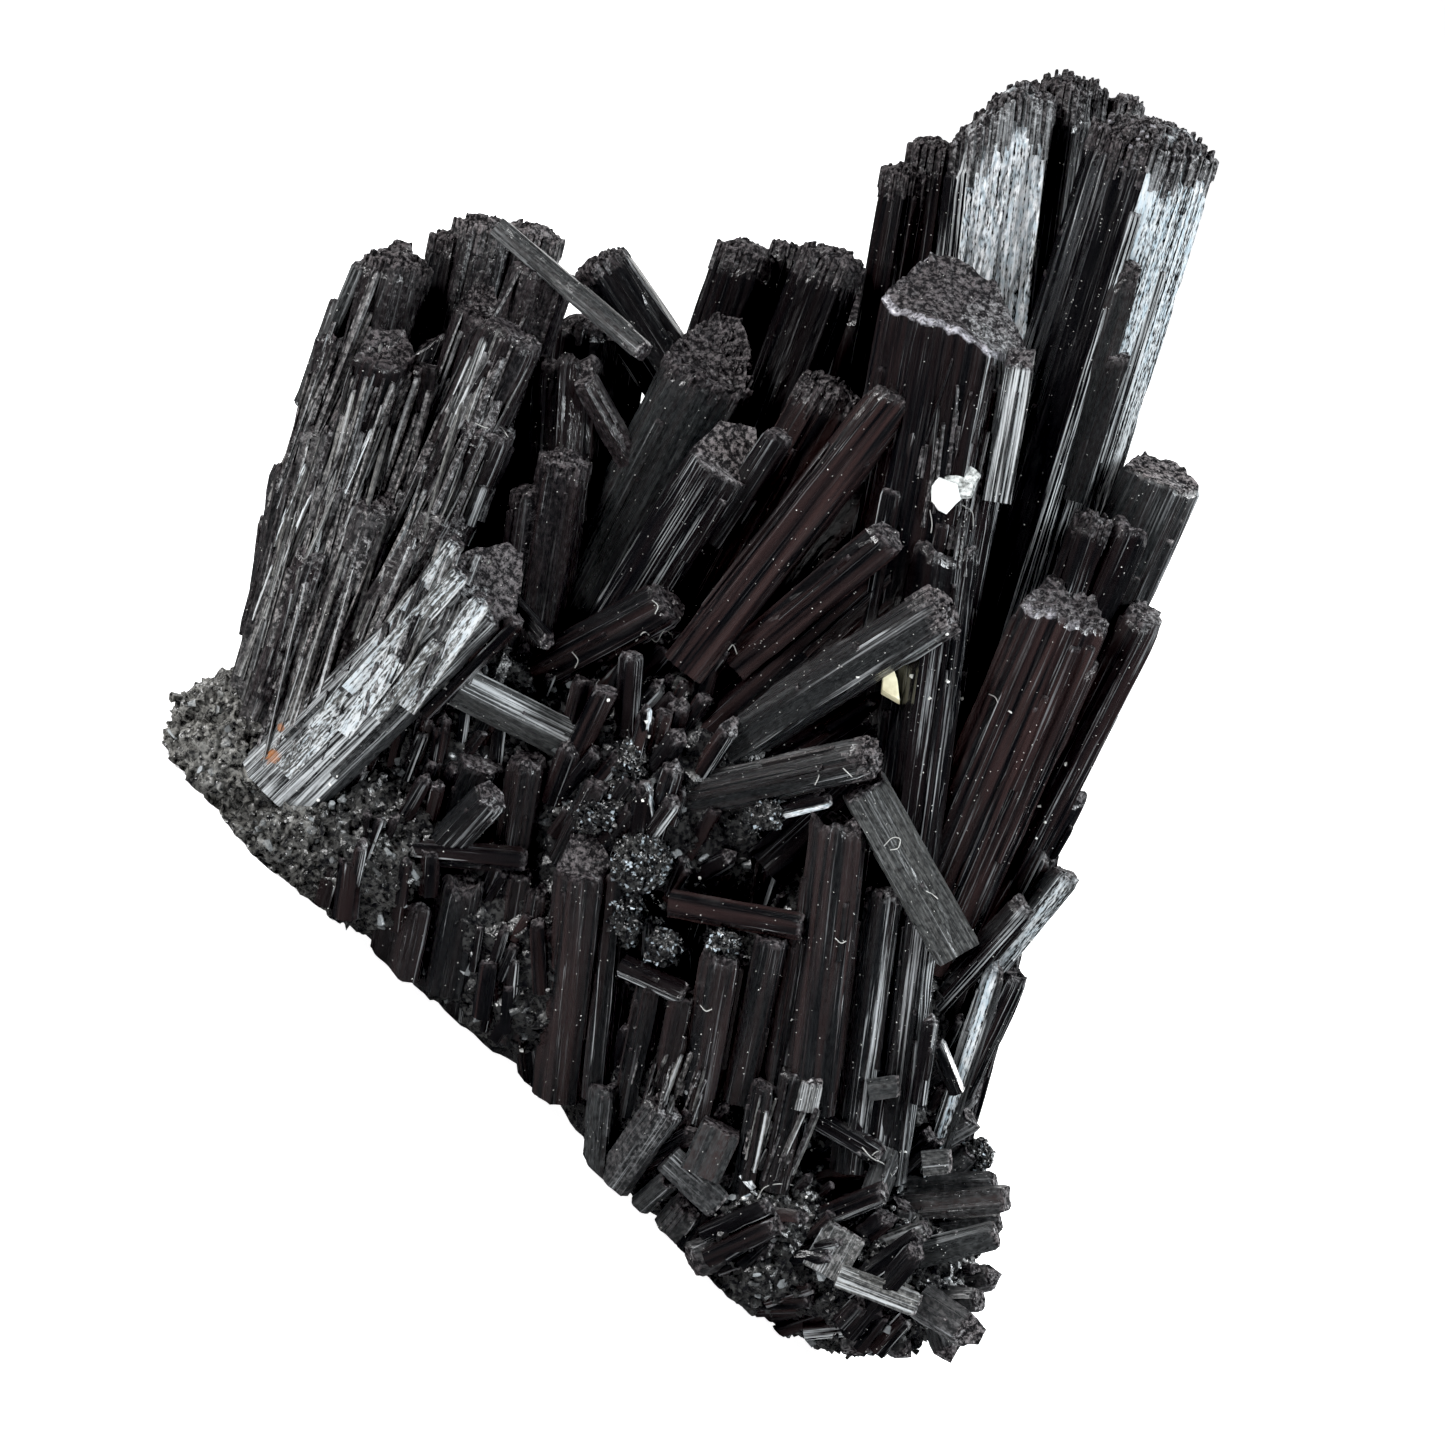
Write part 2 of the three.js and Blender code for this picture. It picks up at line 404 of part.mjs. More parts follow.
// Everything under the base is broken away flat.
const below = bare(new THREE.BoxGeometry(200, 200, 60)).translate(0, 0, -30);
const chips = { mica_flake: [MICA_FLAKE, MICA], feldspar_chip: [FELDSPAR_CHIP, FELDSPAR] };
let cluster = wasm.Manifold.union(grown).subtract(solid(below));
for (const [chip] of Object.values(chips)) {
  cluster = cluster.subtract(solid(chipGeometry(chip, POCKET_GAP)));
}

const specimen = new THREE.Group();
const body = new THREE.Mesh(geometryOf(cluster), SCHORL);
body.name = 'crystal_cluster';
specimen.add(body);
for (const [name, [chip, material]] of Object.entries(chips)) {
  const mesh = new THREE.Mesh(chipGeometry(chip, 0), material);
  mesh.name = name;
  specimen.add(mesh);
}

export default specimen;
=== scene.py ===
"""The looks of a schorl (black tourmaline) crystal cluster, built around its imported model.

Every crystal is grown here again at its own place, with the striations, steps and granular ends that
the plain solid leaves out. Places are given as the picture shows them: pixel across, pixel down and
millimetres behind the cluster's middle plane. Shapes are worked out in millimetres and made in metres.
"""

import logging
import math
from dataclasses import dataclass, field, replace
from enum import Enum
from typing import NamedTuple

import bmesh
import bpy
import numpy as np
from mathutils import Matrix, Vector
from mathutils.bvhtree import BVHTree


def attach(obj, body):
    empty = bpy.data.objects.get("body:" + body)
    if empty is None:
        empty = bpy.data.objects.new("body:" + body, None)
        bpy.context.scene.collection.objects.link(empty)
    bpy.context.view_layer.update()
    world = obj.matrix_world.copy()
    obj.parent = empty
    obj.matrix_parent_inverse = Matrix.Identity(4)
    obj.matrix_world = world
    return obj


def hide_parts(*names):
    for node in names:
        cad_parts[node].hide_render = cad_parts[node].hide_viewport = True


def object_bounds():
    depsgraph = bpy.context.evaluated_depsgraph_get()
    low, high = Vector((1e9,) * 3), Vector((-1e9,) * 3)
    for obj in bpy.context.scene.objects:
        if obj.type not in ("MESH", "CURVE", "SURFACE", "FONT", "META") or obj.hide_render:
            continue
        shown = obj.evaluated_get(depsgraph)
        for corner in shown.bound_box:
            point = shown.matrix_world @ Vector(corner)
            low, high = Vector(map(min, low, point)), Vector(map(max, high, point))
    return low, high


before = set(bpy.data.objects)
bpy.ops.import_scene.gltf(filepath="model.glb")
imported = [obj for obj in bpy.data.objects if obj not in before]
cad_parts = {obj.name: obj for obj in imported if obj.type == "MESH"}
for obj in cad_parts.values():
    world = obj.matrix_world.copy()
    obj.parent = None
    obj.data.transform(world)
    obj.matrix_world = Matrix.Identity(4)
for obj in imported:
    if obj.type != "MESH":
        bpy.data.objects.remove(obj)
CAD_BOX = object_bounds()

LOG = logging.getLogger("schorl")
MM = 0.001
BODY = "root"
CLUSTER_NODE = "crystal_cluster"
CLUSTER_SLOT = "schorl"
SKIN_MAP = "grown"
FINISH = "finish"
MATTE_AND_SHEEN = "matte_and_sheen"
TONE = "tone"
ALONG = "along"
# The shares that each point's finish holds, in this order: brown tint, partly a painted warm reflection;
# grain; painted silvery highlight; pale rim, partly wear and partly a painted highlight; dull grey, partly a
# painted sheen, with dust on rough ends
WARM, GRAINY, PAINTED_HIGHLIGHT, PALE, GREY_SHEEN_AND_DUST = range(5)
SHARES = 5
# What the first two stand for on the granular mass: dust, and how thickly grains are sown
DUSTY, SOWN = WARM, GRAINY

Array = np.ndarray
Mesh = bpy.types.Mesh
Material = bpy.types.Material
Socket = bpy.types.NodeSocket
Spot = tuple[float, float, float]
Colour = tuple[float, float, float, float]
Region = tuple[float, float, float, float]
Hit = tuple[Array, Array] | None


def unit(line: Array) -> Array:
    """Scales a direction to a length of one."""
    return line / np.linalg.norm(line)


@dataclass(frozen=True)
class Picture:
    """How the photograph shows the cluster: its scale, and the way it is turned before the lens."""

    mm_per_pixel: float = 0.065
    centre: float = 722.5
    distance: float = 400.0
    roll: float = math.radians(43.4)
    elevation: float = math.radians(12)
    forward_lean: float = 0.15
    base_edge: Spot = (489, 1029, 0)
    to_middle: Spot = (-1.776, 5.479, 0)

    @property
    def rise(self) -> Array:
        """The upward direction in the picture, before it is rolled."""
        return np.array([0, math.sin(self.elevation), math.cos(self.elevation)])

    @property
    def away(self) -> Array:
        """The direction that the lens looks in."""
        return np.array([0, math.cos(self.elevation), -math.sin(self.elevation)])

    @property
    def right(self) -> Array:
        """The picture's direction to the right."""
        return np.array([math.cos(self.roll), 0, 0]) + self.rise * math.sin(self.roll)

    @property
    def up(self) -> Array:
        """The picture's direction upwards."""
        return np.array([-math.sin(self.roll), 0, 0]) + self.rise * math.cos(self.roll)

    def height_at(self, across: float, down: float) -> float:
        """Tells how far a pixel lies above the base, as seen, in millimetres."""
        right, up = across - self.base_edge[0], self.base_edge[1] - down
        return (right * math.sin(self.roll) + up * math.cos(self.roll)) * self.mm_per_pixel

    def seen(self, spot: Spot) -> Array:
        """Finds a spot of the picture in space, from the picture's own middle.

        Args:
            spot: Pixel across, pixel down and millimetres behind the cluster's middle plane.

        Returns:
            The point in millimetres.
        """
        across, down, behind = spot
        depth = behind - self.forward_lean * self.height_at(across, down)
        scale = self.mm_per_pixel * (self.distance + depth) / self.distance
        flat = self.right * (across - self.centre) + self.up * (self.centre - down)
        return flat * scale + self.away * depth

    @property
    def origin(self) -> Array:
        """The model's origin, from the picture's middle."""
        return self.seen(self.base_edge) + np.array(self.to_middle)

    def place(self, spot: Spot) -> Array:
        """Finds a spot of the picture in the model, in millimetres."""
        return self.seen(spot) - self.origin

    @property
    def eye(self) -> Array:
        """Where the lens stands in the model, in millimetres."""
        return -self.away * self.distance - self.origin

    def ray(self, across: float, down: float) -> Array:
        """Gives the unit direction from the lens through a pixel."""
        flat = self.right * (across - self.centre) + self.up * (self.centre - down)
        return unit(flat * self.mm_per_pixel + self.away * self.distance)


PICTURE = Picture()


def chance(seed: float, step: float) -> float:
    """Gives a repeatable number from 0 to 1 for a seed and step, the same as in the part's source."""
    wave = math.sin(seed * 127.1 + step * 311.7) * 43758.5453
    return wave - math.floor(wave)


def lot(a: Array, b: Array, seed: float) -> Array:
    """Draws a repeatable number from 0 to 1 for each pair of cell numbers.

    Args:
        a: First cell numbers.
        b: Second cell numbers.
        seed: What tells one draw from another.

    Returns:
        The numbers, one for each pair.
    """
    wave = np.sin(a * 127.1 + b * 311.7 + seed * 74.7) * 43758.5453
    return wave - np.floor(wave)


def slats(around: Array, along: Array, seed: float, wide: float, long: float) -> Array:
    """Gives the depth of the parallel slats that a prism's face is made of.

    Args:
        around: Places round the section, in millimetres.
        along: Places along the prism, in millimetres.
        seed: The prism's own seed.
        wide: The breadth of a slat.
        long: The middle length of a slat.

    Returns:
        A depth from 0 to 1 for each place, the same all over one slat.
    """
    column = np.floor(around / wide + 0.25 * np.sin(along * 0.9 + seed))
    stretch = long * (0.6 + 0.8 * lot(column, 0 * column, seed))
    row = np.floor(along / stretch + 7 * lot(column, 0 * column + 1, seed))
    return lot(column, row + 3, seed + 5)


def jagged(x: Array, y: Array, seed: float, cell: float) -> Array:
    """Gives the heights of the small blocks that a rough end is made of.

    Args:
        x: Places across the section, in millimetres.
        y: Places through the section, in millimetres.
        seed: The crystal's own seed.
        cell: The breadth of a block.

    Returns:
        A height from 0 to about 1 for each place.
    """
    across, through = x / cell, y / cell
    nearest = np.full(np.shape(x), np.inf)
    height = np.zeros(np.shape(x))
    for step_x in (-1, 0, 1):
        for step_y in (-1, 0, 1):
            column = np.floor(across) + step_x
            row = np.floor(through) + step_y
            gap = (across - column - lot(column, row, seed)) ** 2
            gap = gap + (through - row - lot(column, row, seed + 11)) ** 2
            closer = gap < nearest
            height = np.where(closer, lot(column, row, seed + 23), height)
            nearest = np.where(closer, gap, nearest)
    return height + 0.25 * np.sqrt(nearest)


def facets(points: Array, seed: float, cell: float) -> Array:
    """Gives the depths of the angular grains on a lump, each with a face that leans its own way.

    Args:
        points: Places on the lump, in millimetres.
        seed: The lump's own seed.
        cell: The breadth of a grain.

    Returns:
        A depth from about 0 to 1 for each place.
    """
    spots = points / cell
    nearest = np.full(len(points), np.inf)
    depth = np.zeros(len(points))
    offsets = [(i, j, k) for i in (-1, 0, 1) for j in (-1, 0, 1) for k in (-1, 0, 1)]
    for offset in offsets:
        box = np.floor(spots) + offset
        key = box[:, 0] + box[:, 2] * 57
        draws = np.stack([lot(key, box[:, 1], seed + n) for n in range(1, 8)], axis=1)
        away = spots - box - draws[:, :3]
        gap = (away**2).sum(axis=1)
        slope = (away * (draws[:, 3:6] * 2 - 1)).sum(axis=1)
        closer = gap < nearest
        depth = np.where(closer, 0.7 * draws[:, 6] + 0.9 * slope, depth)
        nearest = np.where(closer, gap, nearest)
    return np.clip(depth + 0.2 * nearest, -0.2, 1.2)


class End(Enum):
    """The ways in which a crystal ends."""

    DOME = "dome"
    SLANT = "slant"
    PEAK = "peak"
    FLAT = "flat"
    BROKEN = "broken"


DOME, SLANT, PEAK, FLAT, BROKEN = End


@dataclass(frozen=True)
class Drops:
    """Shares of a crystal's width that shape its end, near those in the part's source."""

    dome: float = 0.16
    slant: float = 0.55
    peak: float = 0.42
    broken: float = 0.22
    tilt: float = 0.12
    narrow_tilt: float = 0.34
    flat_front: float = 0.62


DROPS = Drops()


@dataclass(frozen=True)
class Crystal:
    """One crystal, from its foot to its tip.

    wide is its breadth as seen, thick its depth and turn the way its faces point, in degrees. warm is
    its share of brown tint, partly its own brown and partly a painted warm reflection, painted_highlight
    its share of painted silvery highlight lines and pale its share of pale rim, partly wear and partly a
    painted highlight. band is the length of its rough head and rough the height of the blocks there, in
    millimetres. lit is the way, in degrees to the right of the lens, that the faces point which get the
    most painted highlight. matte_and_sheen is the share of dull grey on its sides, partly a grey tone and
    partly a painted sheen, dusty the same on its rough end, ledge the depth of the step below that end
    and fade the loss of painted highlight towards the foot. slope scales a slanting end, and droop lowers
    its right side, or its left where it is negative. sides is the number of faces, 0 for the usual one,
    and crumbly how granular these are.
    """

    foot: Spot
    tip: Spot
    wide: float
    thick: float
    turn: float = 0
    end: End = FLAT
    warm: float = 0.25
    painted_highlight: float = 0.12
    pale: float = 0.25
    band: float = 0.7
    rough: float = 0.28
    slats: int = 5
    crust: bool = False
    lit: float = 62
    matte_and_sheen: float = 0
    dusty: float = 0.12
    ledge: float = 0.06
    fade: float = 0
    slope: float = 1
    droop: float = 0
    sides: int = 0
    crumbly: float = 0

    def sheen(self, outward: Array) -> Array:
        """Tells how much painted silvery highlight the crystal's faces get, most where they point the lit
        way.

        Args:
            outward: The directions in the section that they point in.

        Returns:
            A share for each direction.
        """
        way = math.radians(self.lit)
        facing = outward[..., 0] * math.sin(way) + outward[..., 1] * math.cos(way)
        # painted highlight: full on faces that point near the lit way, a little elsewhere
        return self.painted_highlight * (0.08 + 0.92 * np.clip((facing - 0.4) / 0.35, 0, 1))

    def drop(self, seed: float, x: Array, y: Array, reach: float | Array) -> Array:
        """Tells how far below the tip the crystal's end lies.

        Args:
            seed: The crystal's own seed.
            x: Places across the section.
            y: Places through the section.
            reach: How far out these are, 1 at the rim.

        Returns:
            The drops in millimetres.
        """
        leaning = x * (chance(seed, 20) - 0.5) + y * chance(seed, 21)
        droop = abs(self.droop) * np.maximum(math.copysign(1, self.droop) * x / self.wide + 0.1, 0)
        if self.end is DOME and not self.crust:
            return DROPS.narrow_tilt * (leaning + 0.5 * self.wide)
        if self.end is DOME:
            return DROPS.dome * self.wide * reach**3 + droop
        if self.end is SLANT:
            fall = DROPS.slant * self.wide * self.slope / DROPS.flat_front
            return fall * np.minimum(y / self.thick + 0.5, DROPS.flat_front) + droop
        if self.end is PEAK:
            return DROPS.peak * self.wide * reach + 0 * x
        lean = DROPS.tilt * leaning
        if self.end is FLAT:
            return lean + DROPS.tilt * self.wide * 0.5
        notch = np.sin(x * 2.1 + seed) * np.cos(y * 1.7 + seed * 2)
        return DROPS.broken * self.wide * (0.5 + 0.5 * notch) + lean


@dataclass(frozen=True)
class Stem:
    """The line that a crystal grows along, with the directions of its section, in millimetres."""

    foot: Array
    axis: Array
    side: Array
    front: Array
    length: float

    @classmethod
    def between(cls, foot: Array, tip: Array) -> "Stem":
        """Runs a stem between two points, with its front towards the lens.

        Args:
            foot: Where it begins.
            tip: Where it ends.

        Returns:
            The stem.
        """
        axis = unit(tip - foot)
        side = unit(np.cross(PICTURE.away, axis))
        return cls(foot, axis, side, np.cross(side, axis), float(np.linalg.norm(tip - foot)))

    def at(self, x: Array, y: Array, along: Array) -> Array:
        """Finds points of the section x, y at the distance along from the foot."""
        return (
            self.foot
            + np.multiply.outer(x, self.side)
            + np.multiply.outer(y, self.front)
            + np.multiply.outer(along, self.axis)
        )

    def branch(self, x: float, y: float, outward: Array, low: float, high: float) -> "Stem":
        """Starts a parallel stem on this one's skin.

        Args:
            x: Its place across the section.
            y: Its place through the section.
            outward: The section's outward direction there.
            low: Where it begins, along this stem.
            high: Where it ends.

        Returns:
            The parallel stem, with its front outwards.
        """
        front = self.side * outward[0] + self.front * outward[1]
        side = np.cross(self.axis, front)
        return Stem(self.at(x, y, low), self.axis, side, front, high - low)


@dataclass(frozen=True)
class Section:
    """A crystal's outline, as points with their outward directions and places round it."""

    points: Array
    outward: Array
    around: Array
    corner: Array

    @staticmethod
    def outline(sides: int, seed: float, turn: float) -> Array:
        """Draws three broad bowed faces with their corners cut off, a lath's four or a hexagon's six.

        Args:
            sides: The number of faces.
            seed: The crystal's own seed.
            turn: The way that its faces point, in degrees.

        Returns:
            The outline's corners.
        """
        corners = []
        for face in range(sides):
            uneven = chance(seed, face)
            if sides == 3:
                middle, cut = face * 120 + turn, 10 + 8 * uneven
                bow = 0.74 + 0.12 * chance(seed, face + 3)
                corners += [(middle, bow), (middle + 60 - cut, 1), (middle + 60 + cut, 1)]
            elif sides == 4:
                corners.append((face * 90 + 45 + turn + 9 * (uneven - 0.5), 1))
            else:
                corners.append((face * 60 + 30 + turn + 8 * uneven, 1))
        angle, reach = np.radians([c[0] for c in corners]), np.array([c[1] for c in corners])
        return np.stack([np.sin(angle) * reach, np.cos(angle) * reach], axis=1)

    @classmethod
    def fitted(cls, corners: Array, wide: float, thick: float, spacing: float) -> "Section":
        """Scales an outline to a crystal's width and thickness and divides its edges.

        Args:
            corners: The outline's corners.
            wide: The crystal's breadth.
            thick: The crystal's depth.
            spacing: The distance between points.

        Returns:
            The section.
        """
        low, high = corners.min(axis=0), corners.max(axis=0)
        corners = ((corners - low) / (high - low) - 0.5) * (wide, thick)
        points, outward, corner = [], [], []
        for here, there in zip(corners, np.roll(corners, -1, axis=0)):
            edge = there - here
            span = float(np.linalg.norm(edge))
            count = max(1, round(span / spacing))
            share = (np.arange(count) / count)[:, None]
            points.append(here + edge * share)
            outward.append(np.tile([-edge[1], edge[0]] / np.float64(span), (count, 1)))
            corner.append(np.arange(count) == 0)
        spots = np.concatenate(points)
        facing = np.concatenate(outward)
        facing = facing + np.roll(facing, 1, axis=0)
        facing = facing / np.linalg.norm(facing, axis=1, keepdims=True)
        gaps = np.linalg.norm(np.roll(spots, -1, axis=0) - spots, axis=1)
        return cls(spots, facing, np.concatenate([[0], np.cumsum(gaps)]), np.concatenate(corner))


class Site(NamedTuple):
    """One crystal with the line that it grows along, its outline and its own seed."""

    crystal: Crystal
    stem: Stem
    section: Section
    seed: int

    @property
    def shift(self) -> Array:
        """Where the crystal's own part of the skin pattern begins."""
        return np.array([40 * chance(self.seed, 50), 40 * chance(self.seed, 51)])


@dataclass
class Form:
    """One closed form in millimetres, with its faces turned outwards.

    quads and fans are its four-sided and three-sided faces, quad_skin and fan_skin the places of their
    corners on the skin. finish is warm (brown tint, partly a painted warm reflection), grain, painted
    highlight, pale (pale rim, partly wear and partly a painted highlight) and matte_and_sheen (dull grey,
    partly a painted sheen) for each point, and along the direction that small crystals grow in there.
    """

    points: Array
    quads: Array
    fans: Array
    quad_skin: Array
    fan_skin: Array
    finish: Array
    along: Array

    def __post_init__(self) -> None:
        """Turns the faces round where they point inwards."""
        flat = np.concatenate([self.quads[:, [0, 1, 2]], self.quads[:, [0, 2, 3]], self.fans])
        a, b, c = (self.points[flat[:, n]] - self.points[0] for n in range(3))
        if np.einsum("ij,ij->i", a, np.cross(b, c)).sum() < 0:
            self.quads, self.quad_skin = self.quads[:, ::-1], self.quad_skin[:, ::-1]
            self.fans, self.fan_skin = self.fans[:, ::-1], self.fan_skin[:, ::-1]


@dataclass
class Shell:
    """The growing mesh of one piece, made of closed forms."""

    forms: list[Form] = field(default_factory=list)

    def every(self, kind: str) -> Array:
        """Joins the values of one kind of all forms."""
        return np.concatenate([getattr(form, kind) for form in self.forms])

    def faces(self, start: int = 0) -> list[list[int]]:
        """Lists every face of the shell.

        Args:
            start: The number of its first point.

        Returns:
            The numbers of each face's points.
        """
        firsts = start + np.cumsum([0] + [len(form.points) for form in self.forms])
        quads = np.concatenate([form.quads + first for form, first in zip(self.forms, firsts)])
        fans = np.concatenate([form.fans + first for form, first in zip(self.forms, firsts)])
        return quads.tolist() + fans.tolist()

    def mesh(self, name: str) -> Mesh:
        """Makes the Blender mesh, in metres, with its skin pattern and finishes.

        Args:
            name: The mesh's name.

        Returns:
            The mesh.
        """
        made = bpy.data.meshes.new(name)
        made.from_pydata((self.every("points") * MM).tolist(), [], self.faces())
        skin = np.concatenate([self.every("quad_skin").ravel(), self.every("fan_skin").ravel()])
        made.uv_layers.new(name=SKIN_MAP).data.foreach_set("uv", skin)
        shares = self.every("finish")
        colours = made.attributes.new(FINISH, "FLOAT_COLOR", "POINT")
        colours.data.foreach_set("color", shares[:, :GREY_SHEEN_AND_DUST].ravel())
        matte_and_sheen = made.attributes.new(MATTE_AND_SHEEN, "FLOAT", "POINT")
        matte_and_sheen.data.foreach_set("value", shares[:, GREY_SHEEN_AND_DUST].copy())
        along = made.attributes.new(ALONG, "FLOAT_VECTOR", "POINT")
        along.data.foreach_set("vector", self.every("along").ravel())
        made.update()
        return made


def weave(rows: int, count: int) -> tuple[Array, Array]:
    """Lists the faces of a form of rows of points, closed at both ends.

    Args:
        rows: How many rows it has. The points of its tip and its foot follow after them.
        count: How many points each row has.

    Returns:
        The four-sided faces and the three-sided ones.
    """
    row = np.arange(rows - 1)[:, None] * count
    here = np.arange(count)
    there = (here + 1) % count
    quads = np.stack([row + here, row + there, row + count + there, row + count + here], axis=-1)
    last = (rows - 1) * count
    tip = np.stack([last + here, last + there, 0 * here + rows * count], axis=-1)
    foot = np.stack([there, here, 0 * here + rows * count + 1], axis=-1)
    return quads.reshape(-1, 4), np.concatenate([tip, foot])


@dataclass(frozen=True)
class Growth:
    """How finely crystals are grown: the spacing of points round and along them, and their relief."""

    spacing: float = 0.27
    step: float = 1.0
    relief: float = 1.0
    cap_rings: int = 7
    head_step: float = 0.35
    base_roughness: float = 0.25
    least_rise: float = 0.25
    least_block: float = 0.15
    block_share: float = 0.2
    widest_block: float = 0.75
    deepest_rough: float = 0.16
    crumble: float = 0.6
    ledge_from: float = 0.45
    ledge_over: float = 0.5
    ledge_wide: float = 1.3
    least_length: float = 0.02
    # glint and glint_reach set the painted highlight lines along some prism edges; fade_from and fade_over,
    # in millimetres below the tip, where the painted highlight starts and ends fading
    glint: float = 0.44
    glint_reach: float = 0.13
    fade_from: float = 12
    fade_over: float = 14

    def grow(self, shell: Shell, site: Site) -> None:
        """Grows one crystal into a shell.

        Args:
            shell: What it is added to.
            site: The crystal and where it grows.
        """
        crystal, stem, section, seed = site
        x, y = section.points.T
        block = min(self.widest_block, self.block_share * crystal.wide + self.least_block)
        rough = min(crystal.rough, self.deepest_rough * crystal.wide)
        low = self.cut(stem, x, y, seed)
        high = stem.length - crystal.drop(seed, x, y, 1.0) - rough * jagged(x, y, seed, block)
        if np.all(high <= low):
            return
        high = np.maximum(high, low + self.least_length)
        levels = self.levels(stem.length - float(low.min()), crystal.band)
        along = low + (high - low) * levels[:, None]
        around = section.around[:-1] + 0 * along
        below_tip = high - along
        head = np.clip(1 - below_tip / max(crystal.band, 0.05), 0, 1)
        uneven = lot(np.floor(section.around[:-1] / self.ledge_wide), 0 * x, seed + 7)
        ledge_at = crystal.band * (self.ledge_from + self.ledge_over * uneven)
        depth = self.depth(around, along, seed, crystal.wide)
        depth = depth + head * rough * self.crumble * jagged(around * 2.2, along * 0.7, seed + 3, 0.6)
        depth = depth + crystal.ledge * (below_tip < ledge_at)
        ring_x = x - section.outward[:, 0] * depth
        ring_y = y - section.outward[:, 1] * depth
        reach = np.linspace(1, 0, self.cap_rings + 1)[1:-1, None]
        cap_x, cap_y = ring_x[-1] * reach, ring_y[-1] * reach
        cap_along = stem.length - crystal.drop(seed, cap_x, cap_y, reach)
        cap_along = cap_along - rough * jagged(cap_x, cap_y, seed, block)
        cap_along = np.maximum(cap_along, low.min() + self.least_length)
        middle = stem.length - crystal.drop(seed, np.zeros(1), np.zeros(1), 0.0) - rough * 0.5
        rows_x = np.concatenate([ring_x, cap_x])
        rows_y = np.concatenate([ring_y, cap_y])
        rows_along = np.concatenate([along, cap_along])
        rows, count = rows_x.shape
        points = stem.at(rows_x.ravel(), rows_y.ravel(), rows_along.ravel())
        top = stem.at(np.zeros(1), np.zeros(1), np.maximum(middle, low.mean()))
        bottom = points[:count].mean(axis=0, keepdims=True)
        points = np.concatenate([points, top, bottom])
        points[:, 2] = np.maximum(points[:, 2], 0)
        quads, fans = weave(rows, count)
        quad_skin, fan_skin = self.skin(site, rows_along, rows_x, rows_y, len(levels))
        on_ledge = np.abs(below_tip - ledge_at) < self.head_step * 0.75
        finish = self.tint(site, rows, head, below_tip, on_ledge)
        direction = np.tile(stem.axis, (len(points), 1))
        shell.forms.append(Form(points, quads, fans, quad_skin, fan_skin, finish, direction))

    def cut(self, stem: Stem, x: Array, y: Array, seed: float) -> Array:
        """Finds where each line of a crystal leaves the flat break of the base.

        Args:
            stem: The crystal's line.
            x: Places across the section.
            y: Places through the section.
            seed: The crystal's own seed.

        Returns:
            The distances along the stem.
        """
        if stem.axis[2] < self.least_rise:
            return np.zeros(len(x))
        height = stem.foot[2] + x * stem.side[2] + y * stem.front[2]
        break_at = self.base_roughness * chance(seed, 31)
        return np.maximum(0, (break_at - height) / stem.axis[2])

    def levels(self, length: float, band: float) -> Array:
        """Spaces the rings from foot to rim, closer together in the rough head.

        Args:
            length: The crystal's length.
            band: The length of its head.

        Returns:
            Shares of the length.
        """
        body = max(2, round((length - band) / self.step))
        head = max(2, round(band / self.head_step))
        share = max(0.05, 1 - band / max(length, band * 1.5))
        below = np.linspace(0, share, body, endpoint=False)
        return np.concatenate([below, np.linspace(share, 1, head + 1)])

    def depth(self, around: Array, along: Array, seed: float, wide: float) -> Array:
        """Gives the depth of the striations, in millimetres.

        Args:
            around: Places round the section.
            along: Places along the prism.
            seed: The crystal's own seed.
            wide: Its breadth.

        Returns:
            A depth for each place.
        """
        size = self.relief * min(1.0, 0.35 + wide / 8)
        broad = slats(around, along, seed, 1.15, 13) ** 2
        narrow = slats(around, along, seed + 40, 0.5, 8)
        fine = slats(around, along, seed + 80, 0.24, 5)
        return size * (0.16 * broad + 0.09 * narrow + 0.05 * fine - 0.08)

    @staticmethod
    def skin(site: Site, along: Array, x: Array, y: Array, rings: int) -> tuple[Array, Array]:
        """Gives each corner its place on the skin, in millimetres round and along the crystal.

        Args:
            site: The crystal and where it grows.
            along: The distance of each point from the foot, row by row.
            x: Its place across the section.
            y: Its place through the section.
            rings: How many rows belong to the side.

        Returns:
            Places for the corners of the four-sided faces and of the three-sided ones.
        """
        rows, count = along.shape
        shift = site.shift
        around = np.broadcast_to(site.section.around, (rows, count + 1))
        side = np.stack([around, np.concatenate([along, along[:, :1]], axis=1)], axis=-1) + shift
        across = np.concatenate([x, x[:, :1]], axis=1)
        through = np.concatenate([y, y[:, :1]], axis=1)
        cap = np.stack([across, through], axis=-1) + shift
        chosen = []
        for row in range(rows - 1):
            here = side if row < rings - 1 else cap
            corners = [here[row, :-1], here[row, 1:], here[row + 1, 1:], here[row + 1, :-1]]
            chosen.append(np.stack(corners, axis=1))
        tip = np.stack([cap[-1, :-1], cap[-1, 1:], np.tile(shift, (count, 1))], axis=1)
        foot = np.stack([cap[0, 1:], cap[0, :-1], np.tile(shift, (count, 1))], axis=1)
        return np.concatenate(chosen), np.concatenate([tip, foot])

    def tint(self, site: Site, rows: int, head: Array, below_tip: Array, on_ledge: Array) -> Array:
        """Gives each point its shares of every finish.

        Args:
            site: The crystal, with its own shares, and where it grows.
            rows: How many rows of points it has.
            head: How far each point of the side lies in the rough head.
            below_tip: How far each point of the side lies below the tip, in millimetres.
            on_ledge: Which points of the side lie on the step below the rough end.

        Returns:
            The shares for each point.
        """
        crystal, _, section, seed = site
        rings, count = head.shape
        finish = np.zeros((rows, count, SHARES))
